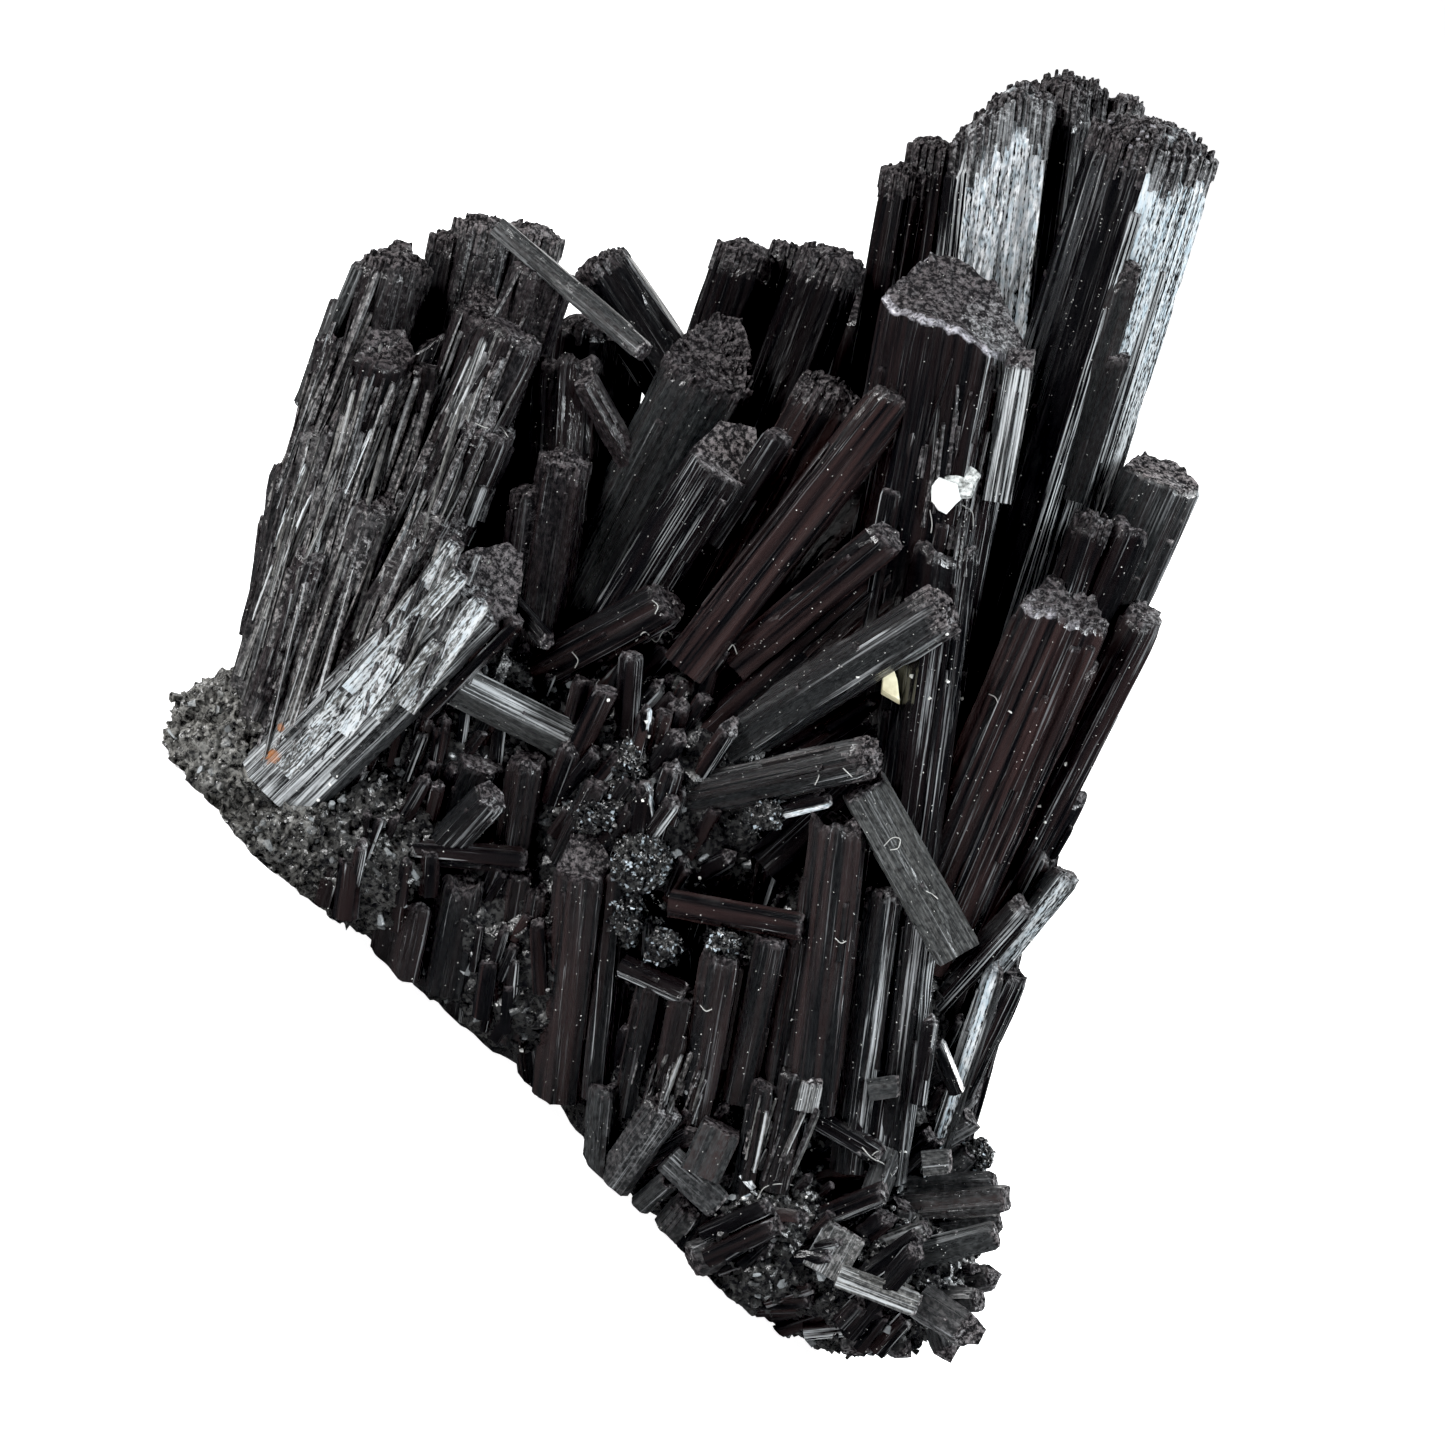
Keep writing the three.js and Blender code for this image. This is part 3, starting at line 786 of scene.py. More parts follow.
        # brown tint, partly the crystal's own brown and partly a painted warm reflection
        finish[..., WARM] = crystal.warm * (0.7 + 0.6 * chance(seed, 60))
        finish[:rings, :, GRAINY] = np.maximum(head * 0.8, crystal.crumbly)
        finish[rings - 1 :, :, GRAINY] = 1
        # painted silvery highlight on the faces that point the lit way
        finish[..., PAINTED_HIGHLIGHT] = crystal.sheen(section.outward)
        # painted highlight lines along some prism edges, on part of their length
        index = np.arange(count)
        start = lot(index, 0 * index, seed + 9)
        height = np.arange(rows)[:, None] / rows
        near = np.abs(height - start) < self.glint_reach
        glints = section.corner & (start > 0.25) & near & (crystal.wide > 1)
        finish[..., PAINTED_HIGHLIGHT] = np.maximum(finish[..., PAINTED_HIGHLIGHT], self.glint * glints)
        # the painted highlight fades towards the foot
        faded = np.clip((below_tip - self.fade_from) / self.fade_over, 0, 1)
        finish[:rings, :, PAINTED_HIGHLIGHT] *= 1 - crystal.fade * faded
        # pale rim on the step below the rough end and at the end's rim, partly wear and partly a painted
        # highlight, strongest on the side towards the lens
        edge = crystal.pale * (0.7 + 0.3 * lot(np.floor(section.around[:-1] / 0.5), np.zeros(count), seed))
        finish[:rings, :, PALE] = on_ledge * edge
        finish[rings - 1, :, PALE] = np.clip(edge * np.clip(0.5 + 2 * section.outward[:, 1], 0, 1), 0, 1)
        # dull grey share on the sides, partly a grey tone and partly a painted sheen; dust on the rough end
        finish[..., GREY_SHEEN_AND_DUST] = crystal.dusty
        finish[:rings, :, GREY_SHEEN_AND_DUST] = crystal.matte_and_sheen * (1 - head) + crystal.dusty * head
        flat = finish.reshape(-1, SHARES)
        return np.concatenate([flat, flat[-1:], flat[:1]])


@dataclass(frozen=True)
class Satellites:
    """The narrow slats that stand out along a crystal's sides, as shares of its width and length."""

    least_wide: float = 0.09
    most_wide: float = 0.2
    thick: float = 0.5
    sink: float = 0.32
    lowest: float = 0.05
    top: float = 0.965

    def add(self, shell: Shell, growth: Growth, site: Site) -> None:
        """Adds a crystal's slats.

        Args:
            shell: What they are added to.
            growth: How finely they are grown.
            site: The crystal that carries them and where it grows.
        """
        crystal, stem, section, seed = site
        for number in range(crystal.slats):
            draw = seed * 31 + number
            index = int(chance(draw, 1) * len(section.points))
            x, y = section.points[index] - section.outward[index] * self.sink * self.thick
            wide = crystal.wide * (self.least_wide + (self.most_wide - self.least_wide) * chance(draw, 2))
            low = stem.length * (self.lowest + 0.5 * chance(draw, 3))
            rim = stem.length * self.top - 0.5
            if crystal.end is SLANT:
                rim -= float(crystal.drop(seed, x, y, 1.0))
            high = min(low + stem.length * (0.2 + 0.5 * chance(draw, 4)), rim)
            if high - low < 1:
                continue
            # each slat takes part of the painted highlight of the face that it stands on
            slat = replace(
                crystal, wide=max(wide, 0.4), thick=self.thick + 0.2 * chance(draw, 5),
                painted_highlight=0.75 * float(crystal.sheen(section.outward[index])), lit=0, end=BROKEN,
                rough=0.2, band=0.4, pale=0.1, ledge=0, fade=0, slats=0,
            )
            own = Section.fitted(Section.outline(6, draw, 0), slat.wide, slat.thick, 0.3)
            branch = stem.branch(x, y, section.outward[index], low, high)
            growth.grow(shell, Site(slat, branch, own, draw))


@dataclass(frozen=True)
class Tuft:
    """The bundle of fine parallel slats that a rough end is made of, with its sizes in millimetres."""

    sides: int = 4
    least_wide: float = 0.22
    most_wide: float = 0.64
    rim_gap: float = 0.28
    per_square: float = 2.0
    block: float = 1.2
    crumbly: float = 2.0
    grainy: float = 0.55
    pale_above: float = 0.93

    def add(self, shell: Shell, site: Site) -> None:
        """Adds a crystal's bundle.

        Args:
            shell: What it is added to.
            site: The crystal that ends in it and where it grows.
        """
        crystal, stem, section, seed = site
        draw = np.random.default_rng(seed)
        rim = round(section.around[-1] / self.rim_gap)
        count = rim + round(crystal.wide * crystal.thick * self.per_square)
        index = draw.integers(len(section.points), size=count)
        reach = np.where(np.arange(count) < rim, 1.0, 0.97 * np.sqrt(draw.random(count)))
        wide = self.least_wide + (self.most_wide - self.least_wide) * draw.random(count) ** 1.5
        spots = section.points[index] * reach[:, None]
        spots = spots - section.outward[index] * (0.38 * wide * (reach == 1))[:, None]
        x, y = spots.T
        lift = 0.45 * jagged(x, y, seed, self.block) + 0.07 * draw.random(count) - 0.48
        top = stem.length - crystal.drop(seed, x, y, reach) + crystal.rough * lift
        outer, inner = crystal.band * draw.uniform(0.3, 1.15, count), draw.uniform(0.6, 1.6, count)
        low = np.maximum(top - np.where(reach == 1, outer, inner) - crystal.rough, 0.01)
        angle = draw.random((count, 1)) * math.tau + np.arange(self.sides) * math.tau / self.sides
        way = np.stack([np.sin(angle), np.cos(angle)], axis=-1)
        half = np.stack([wide, wide * draw.uniform(0.5, 1, count)], axis=-1)[:, None] / 2
        corners = way * half
        slope = (corners * draw.uniform(-0.4, 0.4, (count, 1, 2))).sum(axis=-1)
        sill = np.maximum(top - self.crumbly, (low + top) / 2)
        rows = [(1.0, low[:, None] + 0 * slope), (1.0, sill[:, None] + 0 * slope)]
        rows += [(0.96, top[:, None] - 0.1 + slope), (0.66, top[:, None] + slope)]
        places = [spots[:, None] + corners * share for share, _ in rows] + [spots[:, None], spots[:, None]]
        along = [height for _, height in rows] + [top[:, None] + 0.02, low[:, None]]
        places, along = np.concatenate(places, axis=1), np.concatenate(along, axis=1)
        points = stem.at(places[..., 0].ravel(), places[..., 1].ravel(), along.ravel())
        # painted highlight on each slat: part of that of the face it stands on, or a little inside the rim
        slat_highlight = crystal.sheen(section.outward[index]) * draw.uniform(0.4, 0.75, count)
        slat_highlight = np.where(reach == 1, slat_highlight, 0.2 * crystal.painted_highlight)
        shell.forms.append(self.bundle(site, index, along, slat_highlight, points))

    def bundle(self, site: Site, index: Array, along: Array, slat_highlight: Array, points: Array) -> Form:
        """Joins the points of all slats and gives them their finish.

        Args:
            site: The crystal that ends in them and where it grows.
            index: Where each slat stands on the outline.
            along: The points' distances along the stem, slat by slat.
            slat_highlight: How much painted highlight each slat has.
            points: The points in space.

        Returns:
            The slats, as one form.
        """
        crystal, stem, section, seed = site
        count, each = along.shape
        first = np.arange(count)[:, None, None] * each
        quads, fans = ((faces + first).reshape(-1, faces.shape[1]) for faces in weave(4, self.sides))
        turn = np.concatenate([np.tile(np.arange(self.sides) * 0.13, 4), [0.3, 0.3]])
        skin = np.stack([section.around[index][:, None] + turn, along], axis=-1).reshape(-1, 2) + site.shift
        finish = np.zeros((count, each, SHARES))
        finish[..., WARM] = crystal.warm
        finish[..., GRAINY] = self.grainy
        finish[:, 2 * self.sides :, GRAINY] = 1
        finish[..., PAINTED_HIGHLIGHT] = slat_highlight[:, None]
        # pale tips on a few slats, partly wear and partly a painted highlight
        pale = crystal.pale * (lot(index, 0 * index, seed) > self.pale_above)
        finish[:, 2 * self.sides : 3 * self.sides, PALE] = pale[:, None]
        finish[..., GREY_SHEEN_AND_DUST] = crystal.dusty
        direction = np.tile(stem.axis, (len(points), 1))
        return Form(points, quads, fans, skin[quads], skin[fans], finish.reshape(-1, SHARES), direction)


def bring_in(mesh: Mesh, material: Material, node: str = CLUSTER_NODE, slot: str = CLUSTER_SLOT) -> None:
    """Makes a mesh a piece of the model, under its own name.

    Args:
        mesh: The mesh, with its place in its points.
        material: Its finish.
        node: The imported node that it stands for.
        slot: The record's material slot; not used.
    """
    piece = bpy.data.objects.new(mesh.name, mesh)
    bpy.context.scene.collection.objects.link(piece)
    mesh.materials.clear()
    mesh.materials.append(material)
    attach(piece, BODY)
    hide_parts(node)
    LOG.info("%s: %d triangles", piece.name, sum(len(face.vertices) - 2 for face in mesh.polygons))


@dataclass
class Grown:
    """A piece of the cluster that is grown into a shell of its own."""

    name: str
    shell: Shell = field(default_factory=Shell, kw_only=True)

    def build(self, material: Material) -> None:
        """Makes the piece."""
        bring_in(self.shell.mesh(self.name), material)


@dataclass
class CrystalGroup(Grown):
    """Crystals that grew beside each other, made as one piece."""

    crystals: tuple[Crystal, ...]
    first_seed: int
    always_six_sided: bool = False
    growth: Growth = Growth()
    least_matte_and_sheen: float = 0
    crumbly: float = 0
    satellites: Satellites = Satellites()
    tuft: Tuft = Tuft()
    six_sided_below: float = 5.5

    def grow(self) -> None:
        """Grows every crystal of the group."""
        for seed, crystal in enumerate(self.crystals, self.first_seed):
            matte_and_sheen = max(crystal.matte_and_sheen, self.least_matte_and_sheen)
            crystal = replace(crystal, matte_and_sheen=matte_and_sheen, crumbly=self.crumbly * chance(seed, 70))
            stem = Stem.between(PICTURE.place(crystal.foot), PICTURE.place(crystal.tip))
            site = Site(crystal, stem, self.section(crystal, seed), seed)
            self.growth.grow(self.shell, site)
            self.satellites.add(self.shell, self.growth, site)
            if crystal.crust:
                self.tuft.add(self.shell, site)

    def section(self, crystal: Crystal, seed: int) -> Section:
        """Draws a crystal's section: three-sided where it is broad, six-sided elsewhere, or as it states.

        Args:
            crystal: The crystal.
            seed: Its own seed.

        Returns:
            The section.
        """
        narrow = self.always_six_sided or crystal.wide < self.six_sided_below
        sides = crystal.sides or (6 if narrow else 3)
        corners = Section.outline(sides, seed, crystal.turn)
        return Section.fitted(corners, crystal.wide, crystal.thick, self.growth.spacing)


TALL_PILLARS = (
    Crystal((893, 1000, 7), (1163, 121, 2), 8.4, 7.6, 48, DOME, 0.05, 0.84, 1, 2, 0.7, 16, True, 60,
            ledge=0.3, fade=0.3),
    Crystal((1064, 484, 0.9), (1131, 258, -0.8), 1.9, 0.9, 0, BROKEN, 0.5, 0.3, 0.3, 2, 0.6, 1, matte_and_sheen=0.3,
            sides=4),
    Crystal((1074, 500, 1), (1121, 350, -0.3), 1.5, 0.9, 0, BROKEN, 0.2, 0.5, 0.3, 0.8, 0.5, 1, matte_and_sheen=0.2,
            sides=4),
    Crystal((905, 1000, 8), (1008, 76, 6), 6.5, 6, 22, DOME, 0.05, 1, 0.9, 2.6, 0.9, 12, True, 20,
            ledge=0.2, fade=0.1, droop=-6),
    Crystal((935, 1000, 10), (1072, 72, 9), 5, 5, 40, DOME, 0.1, 0.5, 0.6, 2.2, 0.9, 8, True, 60, ledge=0.2),
    Crystal((800, 800, 8), (912, 162, 8), 3.6, 4.4, 25, DOME, 0.3, 0.15, 0.3, 1.6, 0.4, 6, True),
    Crystal((840, 800, 9), (936, 136, 9), 3.6, 4.6, -10, DOME, 0.2, 0.25, 0.3, 1.8, 0.4, 6, True),
    Crystal((828, 1000, 0), (967, 262, -3), 9.9, 7, -4, SLANT, 0.35, 0.5, 1.15, 0.4, 0.3, 16, False, 75,
            dusty=0.12, ledge=0.15, slope=0.6, droop=3.6, sides=6),
    Crystal((996, 500, -4), (1022, 348, -5.2), 1.9, 1.3, 0, SLANT, 0.1, 0.64, 0.9, 0.3, 0.12, 2, lit=0,
            matte_and_sheen=0.4, sides=4),
    Crystal((862, 1140, -5), (943, 536, -4), 5.2, 4.6, 18, BROKEN, 0.2, 0.4, 0.3, 0.8, 0.4, 9),
    Crystal((935, 900, 6), (1128, 94, 10), 2.6, 3, 60, DOME, 0.1, 0.5, 0.4, 1.2, 0.4, 4, True),
)

RIGHT_FAN = (
    Crystal((936, 980, 4.4), (1169, 462, 2.6), 5.4, 5, 4, SLANT, 0.2, 0.35, 0.6, 0.4, 0.3, 8, matte_and_sheen=0.25,
            dusty=1.3, slope=0.3, sides=6),
    Crystal((959, 908, 2.2), (1096, 511, -1), 2.7, 2.7, 20, DOME, 0.2, 0.25, 0.5, 1, 0.3, 4, True),
    Crystal((915, 960, -2), (1080, 578, -3), 6, 5.6, 14, SLANT, 0.85, 0.2, 0.95, 0.6, 0.6, 10, dusty=0.05,
            slope=0.6),
    Crystal((985, 930, 1), (1150, 604, 0), 2.8, 3.4, -24, DOME, 0.4, 0.3, 0.3, 0.8, 0.3, 6),
    Crystal((960, 960, 0), (1066, 780, 2), 3.8, 3.6, 30, BROKEN, 0.5, 0.2, 0.2),
    Crystal((955, 1010, 0), (1042, 838, 1), 3.4, 3.2, -16, BROKEN, 0.4, 0.3, 0.2),
    Crystal((930, 1010, -3), (1030, 900, -4), 2, 2, 15, BROKEN, 0.2, 0.4, 0.3),
    Crystal((927, 1182, -2.5), (999, 958, -4), 1.6, 1.9, 0, PEAK, 0.1, 0.9, 0.3, lit=-30, matte_and_sheen=0.4),
    Crystal((930, 1222, 0), (1010, 930, 2), 2.6, 3, 10, DOME, 0.3, 0.4, 0.3),
    Crystal((957, 1008, -1), (1070, 868, -1), 2.2, 2.2, 0, BROKEN, 0.2, 0.8, 0.3, lit=30, matte_and_sheen=0.6),
    Crystal((950, 1110, -1), (1017, 968, -1), 2.2, 2.2, 10, BROKEN, 0.3, 0.4, 0.5),
    Crystal((957, 929, -1.9), (1082, 650, -3), 3, 2.8, 0, BROKEN, 0.6, 0.2, 0.6),
    Crystal((963, 920, 1.8), (1134, 520, 0), 3, 3, 12, BROKEN, 0.3, 0.2, 0.3),
)

CENTRE_FAN = (
    Crystal((625, 620, 6), (752, 240, 7), 4.2, 4.4, 0, DOME, 0.15, 0.1, 0.2, 1.6, 0.4, 8, True),
    Crystal((690, 600, 6), (788, 240, 9), 2, 2.4, 30, DOME, 0.2, 0.1, 0.2, 1, 0.3, 3, True),
    Crystal((690, 640, 4), (838, 246, 5), 4.6, 4.8, -8, DOME, 0.15, 0.1, 0.3, 1.8, 0.4, 8, True),
    Crystal((570, 640, 3), (735, 324, -1), 6.1, 5.6, 10, SLANT, 0.2, 0.2, 0.4, 0.9, 0.45, 10, True,
            matte_and_sheen=0.34),
    Crystal((680, 660, 0), (838, 378, -2), 4.2, 4, 22, DOME, 0.7, 0.05, 0.3, 1.6, 0.45, 7, True),
    Crystal((600, 665, -1), (744, 432, -6), 4.7, 4.2, 12, SLANT, 0.15, 0.3, 0.3, 0.3, 0.14, 7, lit=5,
            dusty=0.45),
    Crystal((684, 670, -6), (904, 386, -5), 3.3, 2.8, 5, DOME, 0.75, 0.08, 0.8, 0.8, 0.3, 6),
    Crystal((735, 664, -5), (896, 530, -7), 2.6, 2.4, 20, DOME, 0.9, 0.05, 0.8, 0.6, 0.2, 4),
    Crystal((728, 746, -5), (952, 603, -8), 3.6, 3.2, 0, DOME, 0.2, 0.4, 0.4, 1.2, 0.35, 6, True, lit=60,
            matte_and_sheen=0.34, dusty=0.5),
    Crystal((684, 798, -6), (880, 755, -10), 2.9, 2.8, 12, DOME, 0.5, 0.25, 0.3, 0.8, 0.35, 5, True,
            matte_and_sheen=0.25, dusty=0.4),
    Crystal((541, 672, -3), (678, 597, -6), 3.3, 3, 6, DOME, 0.7, 0.15, 0.3, 0.6, 0.3, 6),
    Crystal((880, 590, -4), (914, 424, -5), 2.3, 2.2, 28, FLAT, 0.3, 0.6, 0.5, 0.4, 0.15, 3),
    Crystal((690, 720, -2), (872, 462, -2), 5, 4.6, 14, BROKEN, 0.7, 0.08, 0.2, 0.8, 0.4, 7),
    Crystal((700, 750, -4), (910, 560, -3), 5.4, 4.6, 0, BROKEN, 0.6, 0.08, 0.2, 0.8, 0.4, 7),
    Crystal((730, 790, -4), (930, 665, -2), 5.2, 5, 26, BROKEN, 0.4, 0.15, 0.3, 0.8, 0.4, 7),
    Crystal((760, 860, -4), (905, 730, -3), 5, 4.6, 10, BROKEN, 0.2, 0.15, 0.3, 0.8, 0.4, 6),
    Crystal((712, 540, -4), (784, 428, -6), 2, 2, 10, DOME, 0.2, 0.2, 0.4, 0.5, 0.2, 2),
    Crystal((624, 745, -6), (632, 650, -7), 1.6, 1.6, 0, FLAT, 0.2, 0.5, 0.4, 0.4, 0.2, 2),
)

LEFT_FAN = (
    Crystal((286, 700, 2), (402, 250, 2), 4.5, 4.4, 24, DOME, 0.2, 0.2, 0.3, 1, 0.35, 4, True, dusty=0.3),
    Crystal((345, 420, 4), (402, 240, 4), 2.6, 3, 0, SLANT, 0.1, 0.5, 0.5, 0.5, 0.25, 3),
    Crystal((276, 715, -2), (395, 326, -3), 3.9, 3.8, 12, SLANT, 0.4, 0.1, 0.3, 0.6, 0.3, 3),
    Crystal((262, 640, 1), (344, 330, 2), 3.2, 3.4, 12, BROKEN, 0.1, 0.3, 0.2, 0.6, 0.3, 6),
    Crystal((400, 560, 2), (486, 284, 1), 3, 3.2, 4, SLANT, 0.2, 0.3, 0.8, 0.5, 0.2, 3),
    Crystal((432, 600, 1), (546, 262, 0), 4.4, 4.4, 8, FLAT, 0.2, 0.15, 0.4, 0.5, 0.25, 2),
    Crystal((400, 580, -3), (521, 318, -4), 4.2, 3.8, 16, DOME, 0.3, 0.2, 0.3, 0.8, 0.3, 3),
    Crystal((400, 600, 5), (490, 214, 6), 4.4, 4.4, 0, DOME, 0.1, 0.3, 0.4, 1.6, 0.4, 5, True, dusty=0.5),
    Crystal((440, 600, 6), (536, 222, 7), 4.2, 4, 20, DOME, 0.1, 0.2, 0.4, 1.4, 0.4, 5, True, dusty=0.5),
    Crystal((380, 600, 5), (452, 230, 6), 2.8, 3.4, 42, DOME, 0.1, 0.3, 0.3, 1.2, 0.45, 4, True),
    Crystal((710, 440, 6), (592, 256, 6), 4.2, 3.6, 10, DOME, 0.05, 0.2, 0.3, 0.8, 0.3, 5, True),
    Crystal((560, 520, -1), (570, 350, 0), 4.6, 4, 14, BROKEN, 0.2, 0.15, 0.2, 0.8, 0.4, 5),
    Crystal((640, 478, -1), (577, 366, -2), 1.8, 1.8, 8, SLANT, 0.3, 0.2, 0.3, 0.4, 0.2, 3),
    Crystal((535, 640, -2), (566, 450, -4), 3.6, 3.4, 0, DOME, 0.3, 0.2, 0.5, 0.9, 0.35, 5, True),
    Crystal((509, 646, -2.6), (531, 484, -4), 2.4, 2.4, 20, DOME, 0.3, 0.2, 0.3, 0.7, 0.3, 3, True),
    Crystal((396, 646, -2.3), (492, 421, -5), 3.7, 3.4, 14, FLAT, 0.2, 0.25, 0.4, 0.5, 0.25, 5),
    Crystal((250, 705, 1), (292, 458, 2), 2.6, 4.4, 0, BROKEN, 0.3, 0.2, 0.1, 0.8, 0.4, 5, matte_and_sheen=0.3),
    Crystal((246, 715, -3), (330, 420, -1), 3, 3.4, 30, BROKEN, 0.3, 0.3, 0.1, 0.8, 0.4, 6, matte_and_sheen=0.4),
    Crystal((256, 735, -5), (350, 470, -4), 2.9, 2.8, 12, BROKEN, 0.3, 0.35, 0.1, 0.8, 0.4, 6, matte_and_sheen=0.45),
    Crystal((278, 745, -6), (386, 484, -5), 3, 2.8, 0, SLANT, 0.3, 0.4, 0.2, 0.5, 0.3, 6, matte_and_sheen=0.4),
    Crystal((318, 730, -6), (462, 492, -6), 3.2, 2.8, 22, SLANT, 0.2, 0.3, 0.2, 0.5, 0.3, 6),
    Crystal((268, 700, -6), (318, 545, -6), 2.4, 2, 8, BROKEN, 0.3, 0.4, 0.1, 0.6, 0.3, 4),
    Crystal((258, 700, 2), (282, 508, 3), 2.8, 3.4, 16, BROKEN, 0.3, 0.2, 0.1, 0.6, 0.3, 4),
    Crystal((330, 640, 3), (446, 330, 4), 5.6, 5, 0, BROKEN, 0.3, 0.1, 0.1, 0.6, 0.3, 4),
    Crystal((280, 790, -6), (516, 558, -9), 6, 5.2, 10, SLANT, 0.1, 0.66, 0.3, 0.4, 0.2, 6, lit=-20,
            matte_and_sheen=0.5, dusty=0.08),
    Crystal((345, 690, 1), (491, 316, 0), 3, 3, 0, BROKEN, 0.3, 0.15, 0.1, 0.6, 0.3, 2),
    Crystal((392, 560, -1), (424, 362, -2), 2, 2, 20, FLAT, 0.4, 0.1, 0.2, 0.4, 0.2, 3),
    Crystal((722, 420, 6), (606, 252, 6), 2.4, 2.2, 10, DOME, 0.05, 0.2, 0.2, 0.6, 0.3, 3, True),
)

CROSSING_LATHS = (
    Crystal((303, 404, 3), (364, 262, 2), 1.3, 2.6, 0, FLAT, 0.1, 0.4, 0.1, 0.3, 0.12, 1, lit=-30,
            matte_and_sheen=0.62),
    Crystal((500, 228, 0), (646, 354, -3), 1.5, 2, 6, FLAT, 0.3, 0.3, 0.3, 0.3, 0.15, 2, lit=0, matte_and_sheen=0.55,
            sides=4),
    Crystal((958, 952, -6.5), (862, 783, -9), 3.1, 1.7, 0, FLAT, 0.1, 0.2, 0.6, 0.3, 0.15, 3, lit=0,
            matte_and_sheen=0.72, sides=4),
    Crystal((615, 764, -5), (452, 683, -8), 2.7, 1.8, 30, FLAT, 0.1, 0.64, 0.4, 0.3, 0.12, 3, lit=62,
            matte_and_sheen=0.68, sides=4),
    Crystal((318, 728, -8.6), (459, 540, -10.4), 1.1, 1.6, 0, FLAT, 0, 0.8, 0.4, 0.3, 0.12, 1, lit=0,
            matte_and_sheen=1, sides=4),
    Crystal((352, 690, -9.4), (466, 566, -11), 1.6, 1.6, 8, BROKEN, 0, 0.8, 0.4, 0.3, 0.2, 2, lit=0,
            matte_and_sheen=1, sides=4),
    Crystal((345, 730, -9), (404, 652, -10.2), 1.3, 1.6, 0, BROKEN, 0, 0.8, 0.4, 0.3, 0.2, 1, lit=0,
            matte_and_sheen=1, sides=4),
    Crystal((408, 706, -9.2), (486, 596, -10.8), 1.4, 1.6, 0, FLAT, 0, 0.8, 0.4, 0.3, 0.2, 2, lit=0,
            matte_and_sheen=1, sides=4),
    Crystal((378, 716, -9.4), (441, 636, -10.6), 1, 1.5, 10, FLAT, 0, 0.8, 0.4, 0.3, 0.2, 1, lit=0, matte_and_sheen=1,
            sides=4),
    Crystal((286, 770, -8), (350, 704, -9), 1.5, 1.6, 0, BROKEN, 0, 0.8, 0.4, 0.3, 0.2, 2, lit=0, matte_and_sheen=1,
            sides=4),
    Crystal((426, 712, -8.2), (520, 618, -9.6), 1.2, 1.6, 0, FLAT, 0.8, 0.2, 0.1, 0.3, 0.2, 1),
    Crystal((338, 843, -8), (528, 860, -8), 1.6, 1.6, 0, FLAT, 0.3, 0.2, 0.2, 0.3, 0.2, 2),
    Crystal((670, 890, -5), (738, 852, -7), 1.5, 1.4, 0, PEAK, 0.1, 0.3, 0.3, 0.3, 0.1, 1),
    Crystal((800, 1108, -7), (884, 1158, -7), 1.7, 1.6, 0, FLAT, 0.1, 0.4, 0.3, 0.3, 0.2, 2),
    Crystal((514, 604, -5), (549, 644, -8), 1.3, 1.2, 0, FLAT, 0.1, 0.3, 0.3, 0.3, 0.1, 1),
    Crystal((774, 813, -8), (832, 799, -9.5), 1.1, 0.8, 0, FLAT, 0.1, 1, 0.6, 0.3, 0.1, 1),
    Crystal((622, 966, -8), (688, 996, -9), 1.6, 1.4, 0, FLAT, 0.2, 0.5, 0.5, 0.3, 0.15, 1),
    Crystal((643, 748, -7), (647, 706, -8.5), 0.8, 0.8, 0, FLAT, 0, 1, 0.8, 0.3, 0.1, 0),
    Crystal((650, 820, -8), (643, 782, -9), 0.9, 0.9, 0, FLAT, 0.1, 0.9, 0.5, 0.3, 0.1, 0),
    Crystal((918, 1104, -7), (932, 1012, -7), 1.1, 1, 0, PEAK, 0.1, 0.6, 0.4, 0.3, 0.1, 1),
    Crystal((957, 1092, -5), (936, 1040, -6), 1.1, 1, 0, FLAT, 0.1, 0.6, 0.3, 0.3, 0.1, 1),
    Crystal((670, 903, -8), (806, 928, -9), 1.9, 1.5, 0, FLAT, 0.6, 0.1, 0.2, 0.3, 0.15, 2),
)

